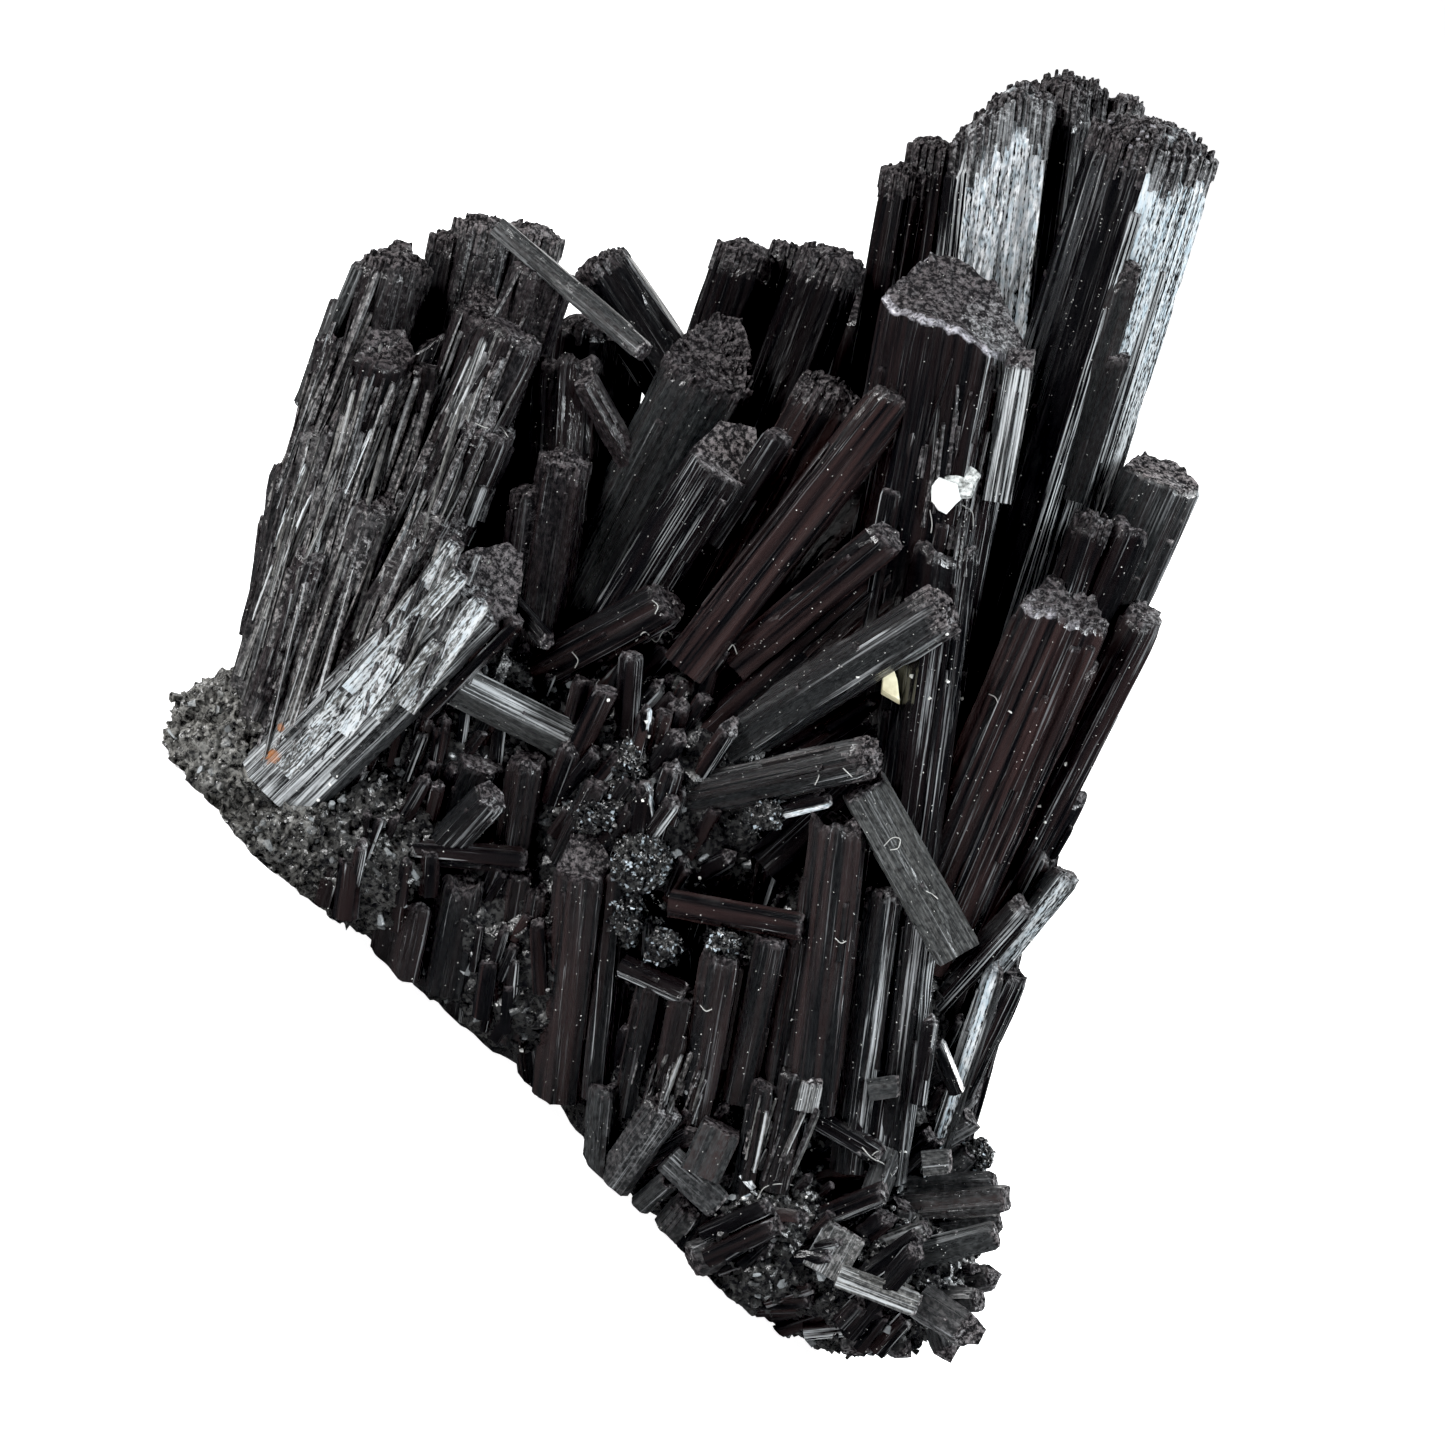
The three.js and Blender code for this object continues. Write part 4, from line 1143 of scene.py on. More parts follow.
BASE_PRISMS = (
    Crystal((381, 966, -5), (392, 898, -6), 1.8, 2.4, 0, FLAT, 0.3, 0.2, 0.2, 0.3, 0.2, 2),
    Crystal((404, 976, -6), (421, 896, -7), 2.3, 2.4, 12, BROKEN, 0.3, 0.2, 0.2, 0.4, 0.25, 2),
    Crystal((445, 988, -5), (468, 868, -7), 3.4, 3.2, 5, BROKEN, 0.2, 0.2, 0.2, 0.8, 0.35, 4),
    Crystal((496, 1016, -4), (521, 862, -7), 2.3, 2.6, 10, BROKEN, 0.4, 0.2, 0.2, 0.5, 0.3, 4),
    Crystal((560, 1094, -4), (586, 838, -9), 3.7, 3.4, 6, SLANT, 0.6, 0.15, 0.4, 0.5, 0.2, 6),
    Crystal((626, 1112, -6), (654, 978, -8), 2.1, 2.2, 0, FLAT, 0.5, 0.15, 0.3, 0.4, 0.2, 3),
    Crystal((694, 1120, -7), (726, 940, -9), 2.9, 2.8, 8, DOME, 0.5, 0.15, 0.3, 0.8, 0.3, 4),
    Crystal((738, 1100, -7), (773, 934, -9), 2.3, 2.2, 0, FLAT, 0.5, 0.2, 0.6, 0.4, 0.2, 3),
    Crystal((772, 1100, -7), (801, 930, -8), 1.7, 2, 20, FLAT, 0.5, 0.2, 0.3, 0.4, 0.2, 3),
    Crystal((808, 1110, -7), (843, 812, -8), 4.1, 3.6, 4, BROKEN, 0.8, 0.1, 0.2, 0.8, 0.3, 8),
    Crystal((848, 1170, -6), (886, 880, -7), 2.6, 2.6, 15, BROKEN, 0.2, 0.5, 0.2, 0.6, 0.3, 6),
    Crystal((774, 1190, -8), (800, 1066, -8), 2.4, 2.2, 12, BROKEN, 0.3, 0.2, 0.3, 0.5, 0.25, 3),
    Crystal((884, 1180, -5), (918, 905, -6), 3, 2.8, 0, BROKEN, 0.1, 0.6, 0.3, 0.6, 0.3, 7),
    Crystal((492, 990, -5), (530, 748, -7), 2.7, 2.6, 6, DOME, 0.5, 0.15, 0.3, 0.6, 0.3, 5),
    Crystal((450, 838, -4), (484, 757, -7), 3.2, 2.8, 0, FLAT, 0.1, 0.3, 0.3, 0.3, 0.15, 3),
    Crystal((440, 852, -7), (494, 794, -10), 2.6, 2.2, 10, FLAT, 0.1, 0.5, 0.3, 0.3, 0.15, 3),
    Crystal((594, 1098, -6), (616, 868, -8), 1.7, 1.6, 0, BROKEN, 0.4, 0.2, 0.2, 0.5, 0.25, 3),
    Crystal((514, 1044, -5), (540, 884, -7.5), 1.7, 1.6, 0, BROKEN, 0.5, 0.2, 0.2, 0.5, 0.25, 3),
    Crystal((660, 1110, -7), (686, 990, -8.5), 2, 1.8, 0, BROKEN, 0.5, 0.2, 0.3, 0.4, 0.2, 3),
    Crystal((742, 1215, -8), (766, 1078, -8.5), 1.8, 1.6, 0, BROKEN, 0.3, 0.3, 0.3, 0.4, 0.2, 3),
    Crystal((560, 860, -6), (600, 780, -8), 1.8, 1.6, 0, FLAT, 0.2, 0.2, 0.3, 0.4, 0.2, 2),
)

CORNER_JUMBLE = (
    Crystal((594, 1190, -7), (604, 1080, -7), 2, 2.4, 0, BROKEN, 0.2, 0.2, 0.2, 0.4, 0.2, 2),
    Crystal((605, 1192, -7), (668, 1104, -9), 2.7, 2.4, 10, FLAT, 0.1, 0.5, 0.4, 0.3, 0.15, 3),
    Crystal((668, 1158, -8.8), (722, 1208, -8.4), 2, 1.6, 0, FLAT, 0.1, 0.3, 0.3, 0.3, 0.15, 2, lit=0,
            matte_and_sheen=0.35, sides=4),
    Crystal((668, 1236, -6), (700, 1196, -8), 2.8, 2.4, 0, DOME, 0.1, 0.2, 0.2, 0.6, 0.3, 2),
    Crystal((806, 1110, -8.6), (815, 1068, -8.8), 1.5, 1.1, 0, SLANT, 0, 0.5, 0.3, 0.3, 0.1, 0, lit=0,
            matte_and_sheen=0.85, dusty=0.8, sides=4),
    Crystal((821, 1274, -8.6), (848, 1226, -7.6), 3, 1.8, 0, FLAT, 0, 0.4, 0.6, 0.3, 0.1, 0, lit=0,
            matte_and_sheen=0.9, dusty=0.8, sides=4),
    Crystal((838, 1274, -8.9), (922, 1306, -8.3), 1.6, 1.5, 0, BROKEN, 0, 0.58, 0.4, 0.3, 0.12, 2, lit=0,
            matte_and_sheen=1, dusty=1, sides=4),
    Crystal((743, 1174, -8.6), (755, 1190, -9), 0.6, 0.4, 0, lit=0, painted_highlight=1, matte_and_sheen=1, slats=0, sides=4),
    Crystal((756, 1194, -8.6), (741, 1200, -9), 0.5, 0.4, 0, lit=0, painted_highlight=1, matte_and_sheen=1, slats=0, sides=4),
    Crystal((727, 1220, -8.6), (740, 1214, -9), 0.6, 0.4, 0, lit=0, painted_highlight=1, matte_and_sheen=1, slats=0, sides=4),
    Crystal((872, 1266, -6), (1000, 1234, -7), 1.9, 1.6, 20, FLAT, 0, 0.5, 0.5, 0.3, 0.15, 3, lit=-60,
            matte_and_sheen=0.6, dusty=0.5, sides=4),
    Crystal((876, 1248, -7), (930, 1228, -7.6), 1.3, 1.4, 0, FLAT, 0, 0.4, 0.5, 0.3, 0.15, 1, lit=0,
            matte_and_sheen=0.8, sides=4),
    Crystal((890, 1236, -4), (1003, 1222, -4), 1.5, 1.5, 8, FLAT, 0.1, 0.4, 0.3, 0.3, 0.15, 2, matte_and_sheen=0.3,
            sides=4),
    Crystal((885, 1208, -4), (1010, 1198, -5), 1.8, 1.7, 4, FLAT, 0.9, 0.2, 0.4, 0.3, 0.15, 2, sides=4),
    Crystal((915, 1200, -2), (978, 1148, -2), 1.9, 1.9, 0, DOME, 0.1, 0.4, 0.3, 0.4, 0.2, 2),
    Crystal((915, 1150, -1), (980, 1082, -1), 1.6, 1.7, 0, SLANT, 0.1, 0.5, 0.3, 0.3, 0.15, 2),
    Crystal((900, 1160, -2), (976, 1116, -2), 1.8, 1.7, 20, BROKEN, 0.1, 0.4, 0.3, 0.3, 0.15, 2),
    Crystal((930, 1290, -3), (1003, 1274, -4), 1.8, 1.8, 0, PEAK, 0.1, 0.3, 0.3, 0.3, 0.1, 1),
    Crystal((900, 1300, -5), (985, 1300, -6), 1.7, 1.7, 15, DOME, 0.1, 0.3, 0.3, 0.3, 0.15, 1, matte_and_sheen=0.5),
    Crystal((920, 1300, -7), (982, 1340, -8), 2.5, 2.2, 0, SLANT, 0.1, 0.4, 0.3, 0.3, 0.15, 2, matte_and_sheen=0.6,
            dusty=0.5),
    Crystal((935, 1310, -4), (951, 1364, -5), 2, 2, 0, PEAK, 0.1, 0.2, 0.3, 0.3, 0.1, 1),
    Crystal((870, 1320, -5), (912, 1358, -5), 1.8, 1.8, 0, PEAK, 0.1, 0.2, 0.3, 0.3, 0.1, 1),
    Crystal((850, 1310, -5), (858, 1358, -6), 2, 2, 20, DOME, 0.1, 0.2, 0.3, 0.3, 0.15, 1),
    Crystal((720, 1250, -8), (688, 1262, -9), 2.4, 2, 0, FLAT, 0.1, 0.3, 0.3, 0.3, 0.15, 1),
    Crystal((868, 1090, -8), (902, 1085, -7.8), 1.5, 1.3, 0, FLAT, 0.1, 0.1, 0.3, 0.3, 0.1, 0, matte_and_sheen=0.62,
            dusty=0.5, sides=4),
    Crystal((890, 1150, -6), (868, 1210, -7.5), 1.7, 1.5, 0, FLAT, 0.1, 0.3, 0.3, 0.3, 0.15, 2),
    Crystal((880, 1290, -5), (905, 1200, -6), 1.9, 1.7, 0, BROKEN, 0.2, 0.3, 0.3, 0.3, 0.15, 2),
    Crystal((640, 1206, -7), (672, 1178, -8.5), 1.5, 1.4, 0, FLAT, 0.1, 0.3, 0.3, 0.3, 0.15, 1),
    Crystal((900, 1186, -3), (998, 1182, -3.5), 1.5, 1.4, 0, FLAT, 0.1, 0.5, 0.3, 0.3, 0.15, 1),
    Crystal((922, 1163, -5.8), (954, 1160, -5.6), 1.6, 1.4, 0, FLAT, 0.1, 0.3, 0.3, 0.3, 0.12, 0, lit=0,
            matte_and_sheen=0.7, dusty=0.6, sides=4),
    Crystal((700, 1174, -8.6), (724, 1122, -8.4), 2.7, 1.8, 0, FLAT, 1.2, 0.1, 0.1, 0.3, 0.1, 0, matte_and_sheen=0.15,
            sides=4),
)

FAR_SIDE = (
    Crystal((300, 740, 6), (372, 400, 10), 4.8, 4.4, 10, DOME, crust=True),
    Crystal((370, 740, 8), (478, 300, 11), 5, 4.6, 0, SLANT, slats=6),
    Crystal((430, 760, 9), (560, 360, 13), 5.4, 5, 8, DOME, crust=True),
    Crystal((550, 700, 6), (604, 312, 7), 6.4, 5, 20, DOME, crust=True),
    Crystal((540, 800, 9), (700, 420, 13), 5.6, 5, 18, DOME, crust=True),
    Crystal((640, 830, 9), (800, 320, 12), 5.6, 5.2, 5, DOME, painted_highlight=0.3, crust=True),
    Crystal((740, 880, 9), (900, 270, 13), 6.4, 5.8, 30, SLANT, slats=8),
    Crystal((800, 930, 10), (1000, 200, 14), 6.4, 6, 12, DOME, painted_highlight=0.3, slats=8, crust=True),
    Crystal((840, 1108, 7.6), (1106, 520, 10), 5.4, 5, 4, FLAT, slats=7),
    Crystal((880, 1090, 6), (1050, 780, 9), 5, 4.6, 16, DOME, crust=True),
    Crystal((856, 1244, 3.2), (966, 1040, 7), 4.2, 4, 6, DOME),
    Crystal((376, 866, 5), (440, 600, 15), 5, 4.6, 12, BROKEN, slats=6),
    Crystal((494, 920, 8), (590, 600, 17), 5.4, 5, 0, DOME, crust=True),
    Crystal((596, 982, 9), (730, 620, 17), 5.6, 5.2, 24, SLANT, slats=6),
    Crystal((770, 1100, 9), (930, 740, 15), 6.2, 4.8, 0, FLAT, slats=8),
    Crystal((800, 1206, 4.5), (880, 1000, 14), 4.8, 4.4, 16, DOME, crust=True),
    Crystal((556, 1012, 6), (650, 800, 17), 5, 4.6, 4, DOME, slats=6, crust=True),
    Crystal((690, 1110, 9), (780, 900, 16), 4.6, 4.2, 14, SLANT),
    Crystal((850, 970, 9), (1096, 260, 11), 4, 3.6, 8, BROKEN, painted_highlight=0.3, slats=8),
    Crystal((700, 1040, 10), (860, 660, 15), 4.4, 4, 20, BROKEN, slats=7),
)

FINE_GROWTH = Growth(spacing=0.22, step=0.7, relief=0.8, cap_rings=4)
COARSE_GROWTH = Growth(spacing=0.38, step=1.4)

GROUPS = (
    CrystalGroup("tall_pillars", TALL_PILLARS, 1, growth=Growth(cap_rings=12)),
    CrystalGroup("right_fan", RIGHT_FAN, 51),
    CrystalGroup("centre_fan", CENTRE_FAN, 101),
    CrystalGroup("left_fan", LEFT_FAN, 151, least_matte_and_sheen=0.04, crumbly=0.46),
    CrystalGroup("crossing_laths", CROSSING_LATHS, 301, True, FINE_GROWTH),
    CrystalGroup("base_prisms", BASE_PRISMS, 201, least_matte_and_sheen=0.12),
    CrystalGroup("corner_jumble", CORNER_JUMBLE, 351, True, replace(FINE_GROWTH, step=0.6), 0.52, 0.3),
    CrystalGroup("far_side", FAR_SIDE, 401, True, COARSE_GROWTH, tuft=Tuft(4, 0.4, 1.2, 0.55, 0.8)),
)


@dataclass(frozen=True)
class Lump:
    """One lump: its middle, its half extents across, up and away, and the height of its bumps."""

    at: Spot
    size: Spot
    grain: float
    fineness: int = 5
    cell: float = 1.0
    dusty: float = 0.1


@dataclass
class GranularMass(Grown):
    """Lumps of grains that the crystals grew from, or that cap the crystals that point at the lens."""

    lumps: tuple[Lump, ...]
    first_seed: int
    swell: float = 0.04
    grain_depth: float = 0.55
    bare_below: float = 0.85

    def grow(self) -> None:
        """Makes every lump of the mass."""
        for seed, lump in enumerate(self.lumps, self.first_seed):
            self.add(lump, seed)

    def add(self, lump: Lump, seed: int) -> None:
        """Adds one lump: a ball with grains on it, stretched along the picture's own directions.

        Args:
            lump: The lump's sizes.
            seed: Its own seed.
        """
        ball = bmesh.new()
        bmesh.ops.create_icosphere(ball, subdivisions=lump.fineness, radius=1)
        spots = np.array([vert.co for vert in ball.verts])
        faces = np.array([[vert.index for vert in face.verts] for face in ball.faces])
        ball.free()
        stretched = spots * lump.size
        coarse = facets(stretched, seed, min(lump.size) * 0.6)
        fine = facets(stretched, seed + 9, lump.cell)
        finest = facets(stretched, seed + 19, lump.cell * 0.45)
        reach = 1 + self.swell + lump.grain * (0.3 - 0.9 * coarse)
        inward = self.grain_depth * lump.cell * (fine + 0.45 * finest)
        local = stretched * reach[:, None] - spots * inward[:, None]
        middle = PICTURE.place(lump.at)
        points = middle + local @ np.stack([PICTURE.right, PICTURE.up, -PICTURE.away])
        points[:, 2] = np.maximum(points[:, 2], 0)
        finish = np.zeros((len(points), SHARES))
        finish[:, DUSTY] = lump.dusty
        finish[:, SOWN] = points[:, 2] > self.bare_below
        no_quads = np.zeros((0, 4), dtype=int)
        skin = np.zeros((len(faces), 3, 2))
        self.shell.forms.append(Form(points, no_quads, faces, np.zeros((0, 4, 2)), skin, finish, spots))


GRANULAR_ROOT = GranularMass(
    "granular_root",
    (
        Lump((240, 758, 1), (5.2, 5.6, 8.6), 0.16, 6, 1.0, 0.9),
        Lump((304, 830, 0), (6.4, 6.2, 9.0), 0.14, 6, 1.0, 0.55),
        Lump((376, 846, -1), (7.2, 6.4, 8.4), 0.12, 6, 1.0, 0.2),
        Lump((560, 920, 2), (12, 10, 9.6), 0.08, 5),
        Lump((690, 1095, 2), (8.6, 10.5, 9.6), 0.06, 5),
        Lump((770, 1220, -1), (6.4, 6.8, 8.4), 0.1, 6),
        Lump((868, 1262, -2), (6.8, 5.8, 6.4), 0.1, 6),
        Lump((470, 730, 3), (10.5, 9.5, 9.6), 0.04, 5),
        Lump((670, 780, 3), (13, 11, 10.5), 0.04, 5),
        Lump((845, 990, 3), (8.8, 15.5, 9.6), 0.04, 5),
    ),
    501,
)

DRUSY_KNOBS = GranularMass(
    "drusy_knobs",
    (
        Lump((640, 862, -7.4), (1.9, 2.1, 2.2), 0.2, 5, 0.5),
        Lump((604, 812, -6.6), (2.4, 1.9, 2.0), 0.2, 5, 0.5),
        Lump((624, 916, -7), (1.4, 2.0, 1.8), 0.2, 5, 0.5),
        Lump((632, 764, -6.6), (1.6, 2.0, 1.8), 0.2, 5, 0.5),
        Lump((664, 948, -8), (1.3, 1.3, 1.4), 0.2, 4, 0.45),
        Lump((724, 946, -8.6), (1.2, 1.2, 1.4), 0.2, 4, 0.45),
        Lump((768, 814, -8.4), (1.1, 1.1, 1.3), 0.2, 4, 0.45),
        Lump((977, 1156, -1.5), (1.1, 1.2, 1.2), 0.2, 4, 0.45),
    ),
    551,
)


@dataclass(frozen=True)
class Bearing:
    """A way that crystals point in a part of the picture: degrees to the right of upright."""

    across: float
    down: float
    lean: float


BEARINGS = (
    Bearing(300, 560, 17),
    Bearing(400, 880, 12),
    Bearing(620, 640, 34),
    Bearing(800, 640, 40),
    Bearing(560, 960, 9),
    Bearing(720, 1040, 11),
    Bearing(860, 1000, 10),
    Bearing(1020, 760, 20),
    Bearing(640, 860, 25),
    Bearing(800, 1220, 70),
    Bearing(940, 1240, 85),
)


def lean_at(across: float, down: float) -> float:
    """Tells how far crystals lean to the right near a pixel of the picture, in degrees."""
    weights = [1 / ((across - way.across) ** 2 + (down - way.down) ** 2 + 900) for way in BEARINGS]
    return sum(w * way.lean for w, way in zip(weights, BEARINGS)) / sum(weights)


def scattered(region: Region, seed: int) -> tuple[float, float]:
    """Picks a pixel of a region, given by its left, right, top and bottom."""
    left, right, top, bottom = region
    return left + (right - left) * chance(seed, 1), top + (bottom - top) * chance(seed, 2)


# Both ends of a crystal whose line is found on a surface
NOWHERE: Spot = (0, 0, 0)


@dataclass(frozen=True)
class FibrePatch:
    """A part of the picture with thin slats: their number, its edges, their painted highlight and dull grey
    share, partly a painted sheen, their reach and breadth.

    lean is the way that they point, in degrees to the right of upright; without it, the way of the
    crystals near them.
    """

    count: int
    region: Region
    painted_highlight: float
    matte_and_sheen: float
    reach: float = 1.0
    most_wide: float = 0.6
    lean: float | None = None


@dataclass
class Fibres(Grown):
    """Thin slats that lie along the surface in patches, in the way that the crystals point there."""

    name: str = "fibrous_slats"
    patches: tuple[FibrePatch, ...] = (
        FibrePatch(640, (225, 470, 395, 770), 0.74, 1.0),
        FibrePatch(16, (300, 420, 280, 460), 0.5, 0.25, 0.7, 0.4),
        FibrePatch(60, (300, 480, 395, 600), 0.6, 0.3, 0.6, 1.2),
        FibrePatch(30, (632, 700, 1066, 1124), 0.66, 0.8, 0.3, 0.45, 16),
        FibrePatch(26, (744, 806, 1146, 1200), 0.64, 0.7, 0.4, 0.45, 18),
        FibrePatch(24, (915, 985, 440, 600), 0.5, 0.2, 0.5, 0.4, 11),
    )
    least_wide: float = 0.16
    thick: float = 0.55
    least_pixels: float = 45
    more_pixels: float = 150
    foot_sunk: float = 0.16
    tip_sunk: float = 0.06
    deepest_gap: float = 1.6
    least_height: float = 0.5
    growth: Growth = Growth(spacing=0.34, step=1.8, relief=0.9, cap_rings=2, head_step=0.3)
    first_seed: int = 901

    def grow(self, surface: "Surface") -> None:
        """Lays the slats.

        Args:
            surface: The surface that they lie on.
        """
        places = [patch for patch in self.patches for _ in range(patch.count)]
        for seed, patch in enumerate(places, self.first_seed):
            across, down = scattered(patch.region, seed)
            lean = lean_at(across, down) if patch.lean is None else patch.lean
            lean = math.radians(lean + 14 * (chance(seed, 3) - 0.5))
            length = (self.least_pixels + self.more_pixels * chance(seed, 4) ** 1.5) * patch.reach
            low = surface.under(across, down)
            high = surface.under(across + length * math.sin(lean), down - length * math.cos(lean))
            if low is None or high is None:
                continue
            foot = low[0] + PICTURE.away * self.foot_sunk
            tip = high[0] + PICTURE.away * self.tip_sunk
            if abs((tip - foot) @ PICTURE.away) > self.deepest_gap or foot[2] < self.least_height:
                continue
            wide = self.least_wide + (patch.most_wide - self.least_wide) * chance(seed, 5) ** 1.4
            # each slat gets a random share of painted highlight and of dull grey, partly a painted sheen
            slat = Crystal(
                NOWHERE, NOWHERE, wide, self.thick, end=BROKEN, pale=0.1, band=0.3, rough=0.2, ledge=0,
                painted_highlight=patch.painted_highlight * (0.3 + 0.8 * chance(seed, 6)), lit=120 * (chance(seed, 8) - 0.5),
                matte_and_sheen=patch.matte_and_sheen * 2.2 * chance(seed, 9) ** 1.3, crumbly=0.8 * chance(seed, 10),
            )
            section = Section.fitted(Section.outline(6, seed, 40 * chance(seed, 7)), wide, self.thick, 0.3)
            self.growth.grow(self.shell, Site(slat, Stem.between(foot, tip), section, seed))


@dataclass
class Stubs(Grown):
    """Short crystals that stand out of the root wherever the larger ones leave it bare."""

    name: str = "root_stubs"
    tries: int = 900
    region: Region = (330, 1010, 560, 1340)
    least_wide: float = 0.7
    most_wide: float = 1.8
    crowding: float = 0.55
    least_height: float = 0.4
    bare_depth: float = 0.2
    jumbled_below: float = 1060
    growth: Growth = Growth(spacing=0.26, step=0.8, relief=0.8, cap_rings=3, head_step=0.3)
    first_seed: int = 1301

    def grow(self, ground: "Surface", stems: "Surface") -> None:
        """Plants the stubs.

        Args:
            ground: The surface of the root.
            stems: The surface of the larger crystals.
        """
        taken: list[Array] = []
        for seed in range(self.first_seed, self.first_seed + self.tries):
            across, down = scattered(self.region, seed)
            bare = ground.under(across, down)
            if bare is None or bare[0][2] < self.least_height:
                continue
            covered = stems.under(across, down)
            if covered is not None and (covered[0] - bare[0]) @ PICTURE.away < self.bare_depth:
                continue
            wide = self.least_wide + (self.most_wide - self.least_wide) * chance(seed, 3) ** 1.6
            if any(np.linalg.norm(bare[0] - other) < self.crowding * wide for other in taken):
                continue
            taken.append(bare[0])
            self.plant(bare[0], across, down, wide, seed)

    def plant(self, spot: Array, across: float, down: float, wide: float, seed: int) -> None:
        """Plants one stub.

        Args:
            spot: The place on the root.
            across: The pixel across.
            down: The pixel down.
            wide: The stub's breadth.
            seed: Its own seed.
        """
        spread = 60 if down > self.jumbled_below else 34
        lean = math.radians(lean_at(across, down) + spread * (chance(seed, 4) - 0.5))
        towards = 0.15 + 0.5 * chance(seed, 5)
        aside = PICTURE.right * math.sin(lean) + PICTURE.up * math.cos(lean)
        line = unit(aside - PICTURE.away * towards)
        length = wide * (1.4 + 3.2 * chance(seed, 6))
        # each stub gets a random share of painted highlight
        stub = Crystal(
            NOWHERE, NOWHERE, wide, wide * (0.8 + 0.2 * chance(seed, 7)), band=0.4, rough=0.3, slats=2,
            end=(BROKEN, SLANT, PEAK, DOME)[int(4 * chance(seed, 8))], warm=0.7 * chance(seed, 9),
            painted_highlight=0.7 * chance(seed, 10) ** 2, pale=0.3 * chance(seed, 11),
            dusty=0.2 * chance(seed, 13), ledge=0,
        )
        stem = Stem.between(spot - line * (0.9 + 0.25 * length), spot + line * 0.75 * length)
        corners = Section.outline(6, seed, 60 * chance(seed, 12))
        section = Section.fitted(corners, stub.wide, stub.thick, self.growth.spacing)
        self.growth.grow(self.shell, Site(stub, stem, section, seed))


class Wiring:
    """A node tree under construction: makes its nodes and joins them."""

    def __init__(self, tree: bpy.types.NodeTree, prefix: str = "") -> None:
        """Takes an empty tree, and what the types of most of its nodes begin with."""
        self.tree = tree
        self.prefix = prefix
        self.tree.nodes.clear()

    def node(self, kind: str, inputs: dict | None = None, **settings: object) -> bpy.types.Node:
        """Makes a node.

        Args:
            kind: The node's type, without the tree's prefix.
            inputs: Values or output sockets for its inputs, by name or number.
            settings: The node's own properties.

        Returns:
            The node.
        """
        made = self.tree.nodes.new(self.prefix + kind)
        for name, value in settings.items():
            setattr(made, name, value)
        for name, value in (inputs or {}).items():
            if isinstance(value, Socket):
                self.tree.links.new(value, made.inputs[name])
            else:
                made.inputs[name].default_value = value
        return made


class Dressing(Wiring):
    """A material under construction."""

    def __init__(self, name: str) -> None:
        """Starts an empty material."""
        self.material = bpy.data.materials.new(name)
        self.material.use_nodes = True
        super().__init__(self.material.node_tree, "ShaderNode")

    def noise(self, place: Socket, scale: float, detail: float, roughness: float) -> Socket:
        """Adds a noise pattern and gives its factor."""
        values = {"Vector": place, "Scale": scale, "Detail": detail, "Roughness": roughness}
        return self.node("TexNoise", values).outputs[0]

    def stretched(
        self, place: Socket, across: float, along: float, detail: float = 2, roughness: float = 0.6
    ) -> Socket:
        """Adds a noise pattern with a scale across a place and another along it."""
        drawn = self.node("Mapping", {"Vector": place, "Scale": (across, along, 1)}).outputs[0]
        return self.noise(drawn, 1, detail, roughness)

    def ramp(self, value: Socket, low: float, high: float, start: float = 0, end: float = 1) -> Socket:
        """Maps values from low to high onto start to end, and holds them at its ends."""
        inputs = {"Value": value, "From Min": low, "From Max": high, "To Min": start, "To Max": end}
        return self.node("MapRange", inputs, clamp=True).outputs[0]

    def times(self, first: Socket, second: Socket | float) -> Socket:
        """Multiplies two values."""
        return self.node("Math", {0: first, 1: second}, operation="MULTIPLY").outputs[0]

    def plus(self, first: Socket, second: Socket | float) -> Socket:
        """Adds two values."""
        return self.node("Math", {0: first, 1: second}, operation="ADD").outputs[0]

    def minus(self, first: Socket | float, second: Socket) -> Socket:
        """Takes the second value from the first."""
        return self.node("Math", {0: first, 1: second}, operation="SUBTRACT").outputs[0]

    def mix(self, share: Socket, first: Socket | Colour, second: Socket | Colour) -> Socket:
        """Mixes two colours by a share."""
        return self.node("MixRGB", {"Fac": share, "Color1": first, "Color2": second}).outputs[0]

    def vector(self, kind: str, *places: object) -> bpy.types.NodeOutputs:
        """Adds a vector operation of the given kind on one or two places or directions and gives its
        outputs.
        """
        return self.node("VectorMath", dict(enumerate(places)), operation=kind).outputs

    def finish(self, colour: Socket, rough: Socket | float, bumps: Socket, **more: object) -> Material:
        """Gives the material its surface.

        Args:
            colour: Its base colour.
            rough: Its roughness.
            bumps: The directions that its relief gives it.
            more: Other inputs of the surface, by their names with low lines for spaces.

        Returns:
            The material.
        """
        look = {"Base Color": colour, "Roughness": rough, "Normal": bumps}
        look |= {name.replace("_", " "): value for name, value in more.items()}
        shader = self.node("BsdfPrincipled", look)
        self.node("OutputMaterial", {"Surface": shader.outputs[0]})
        return self.material


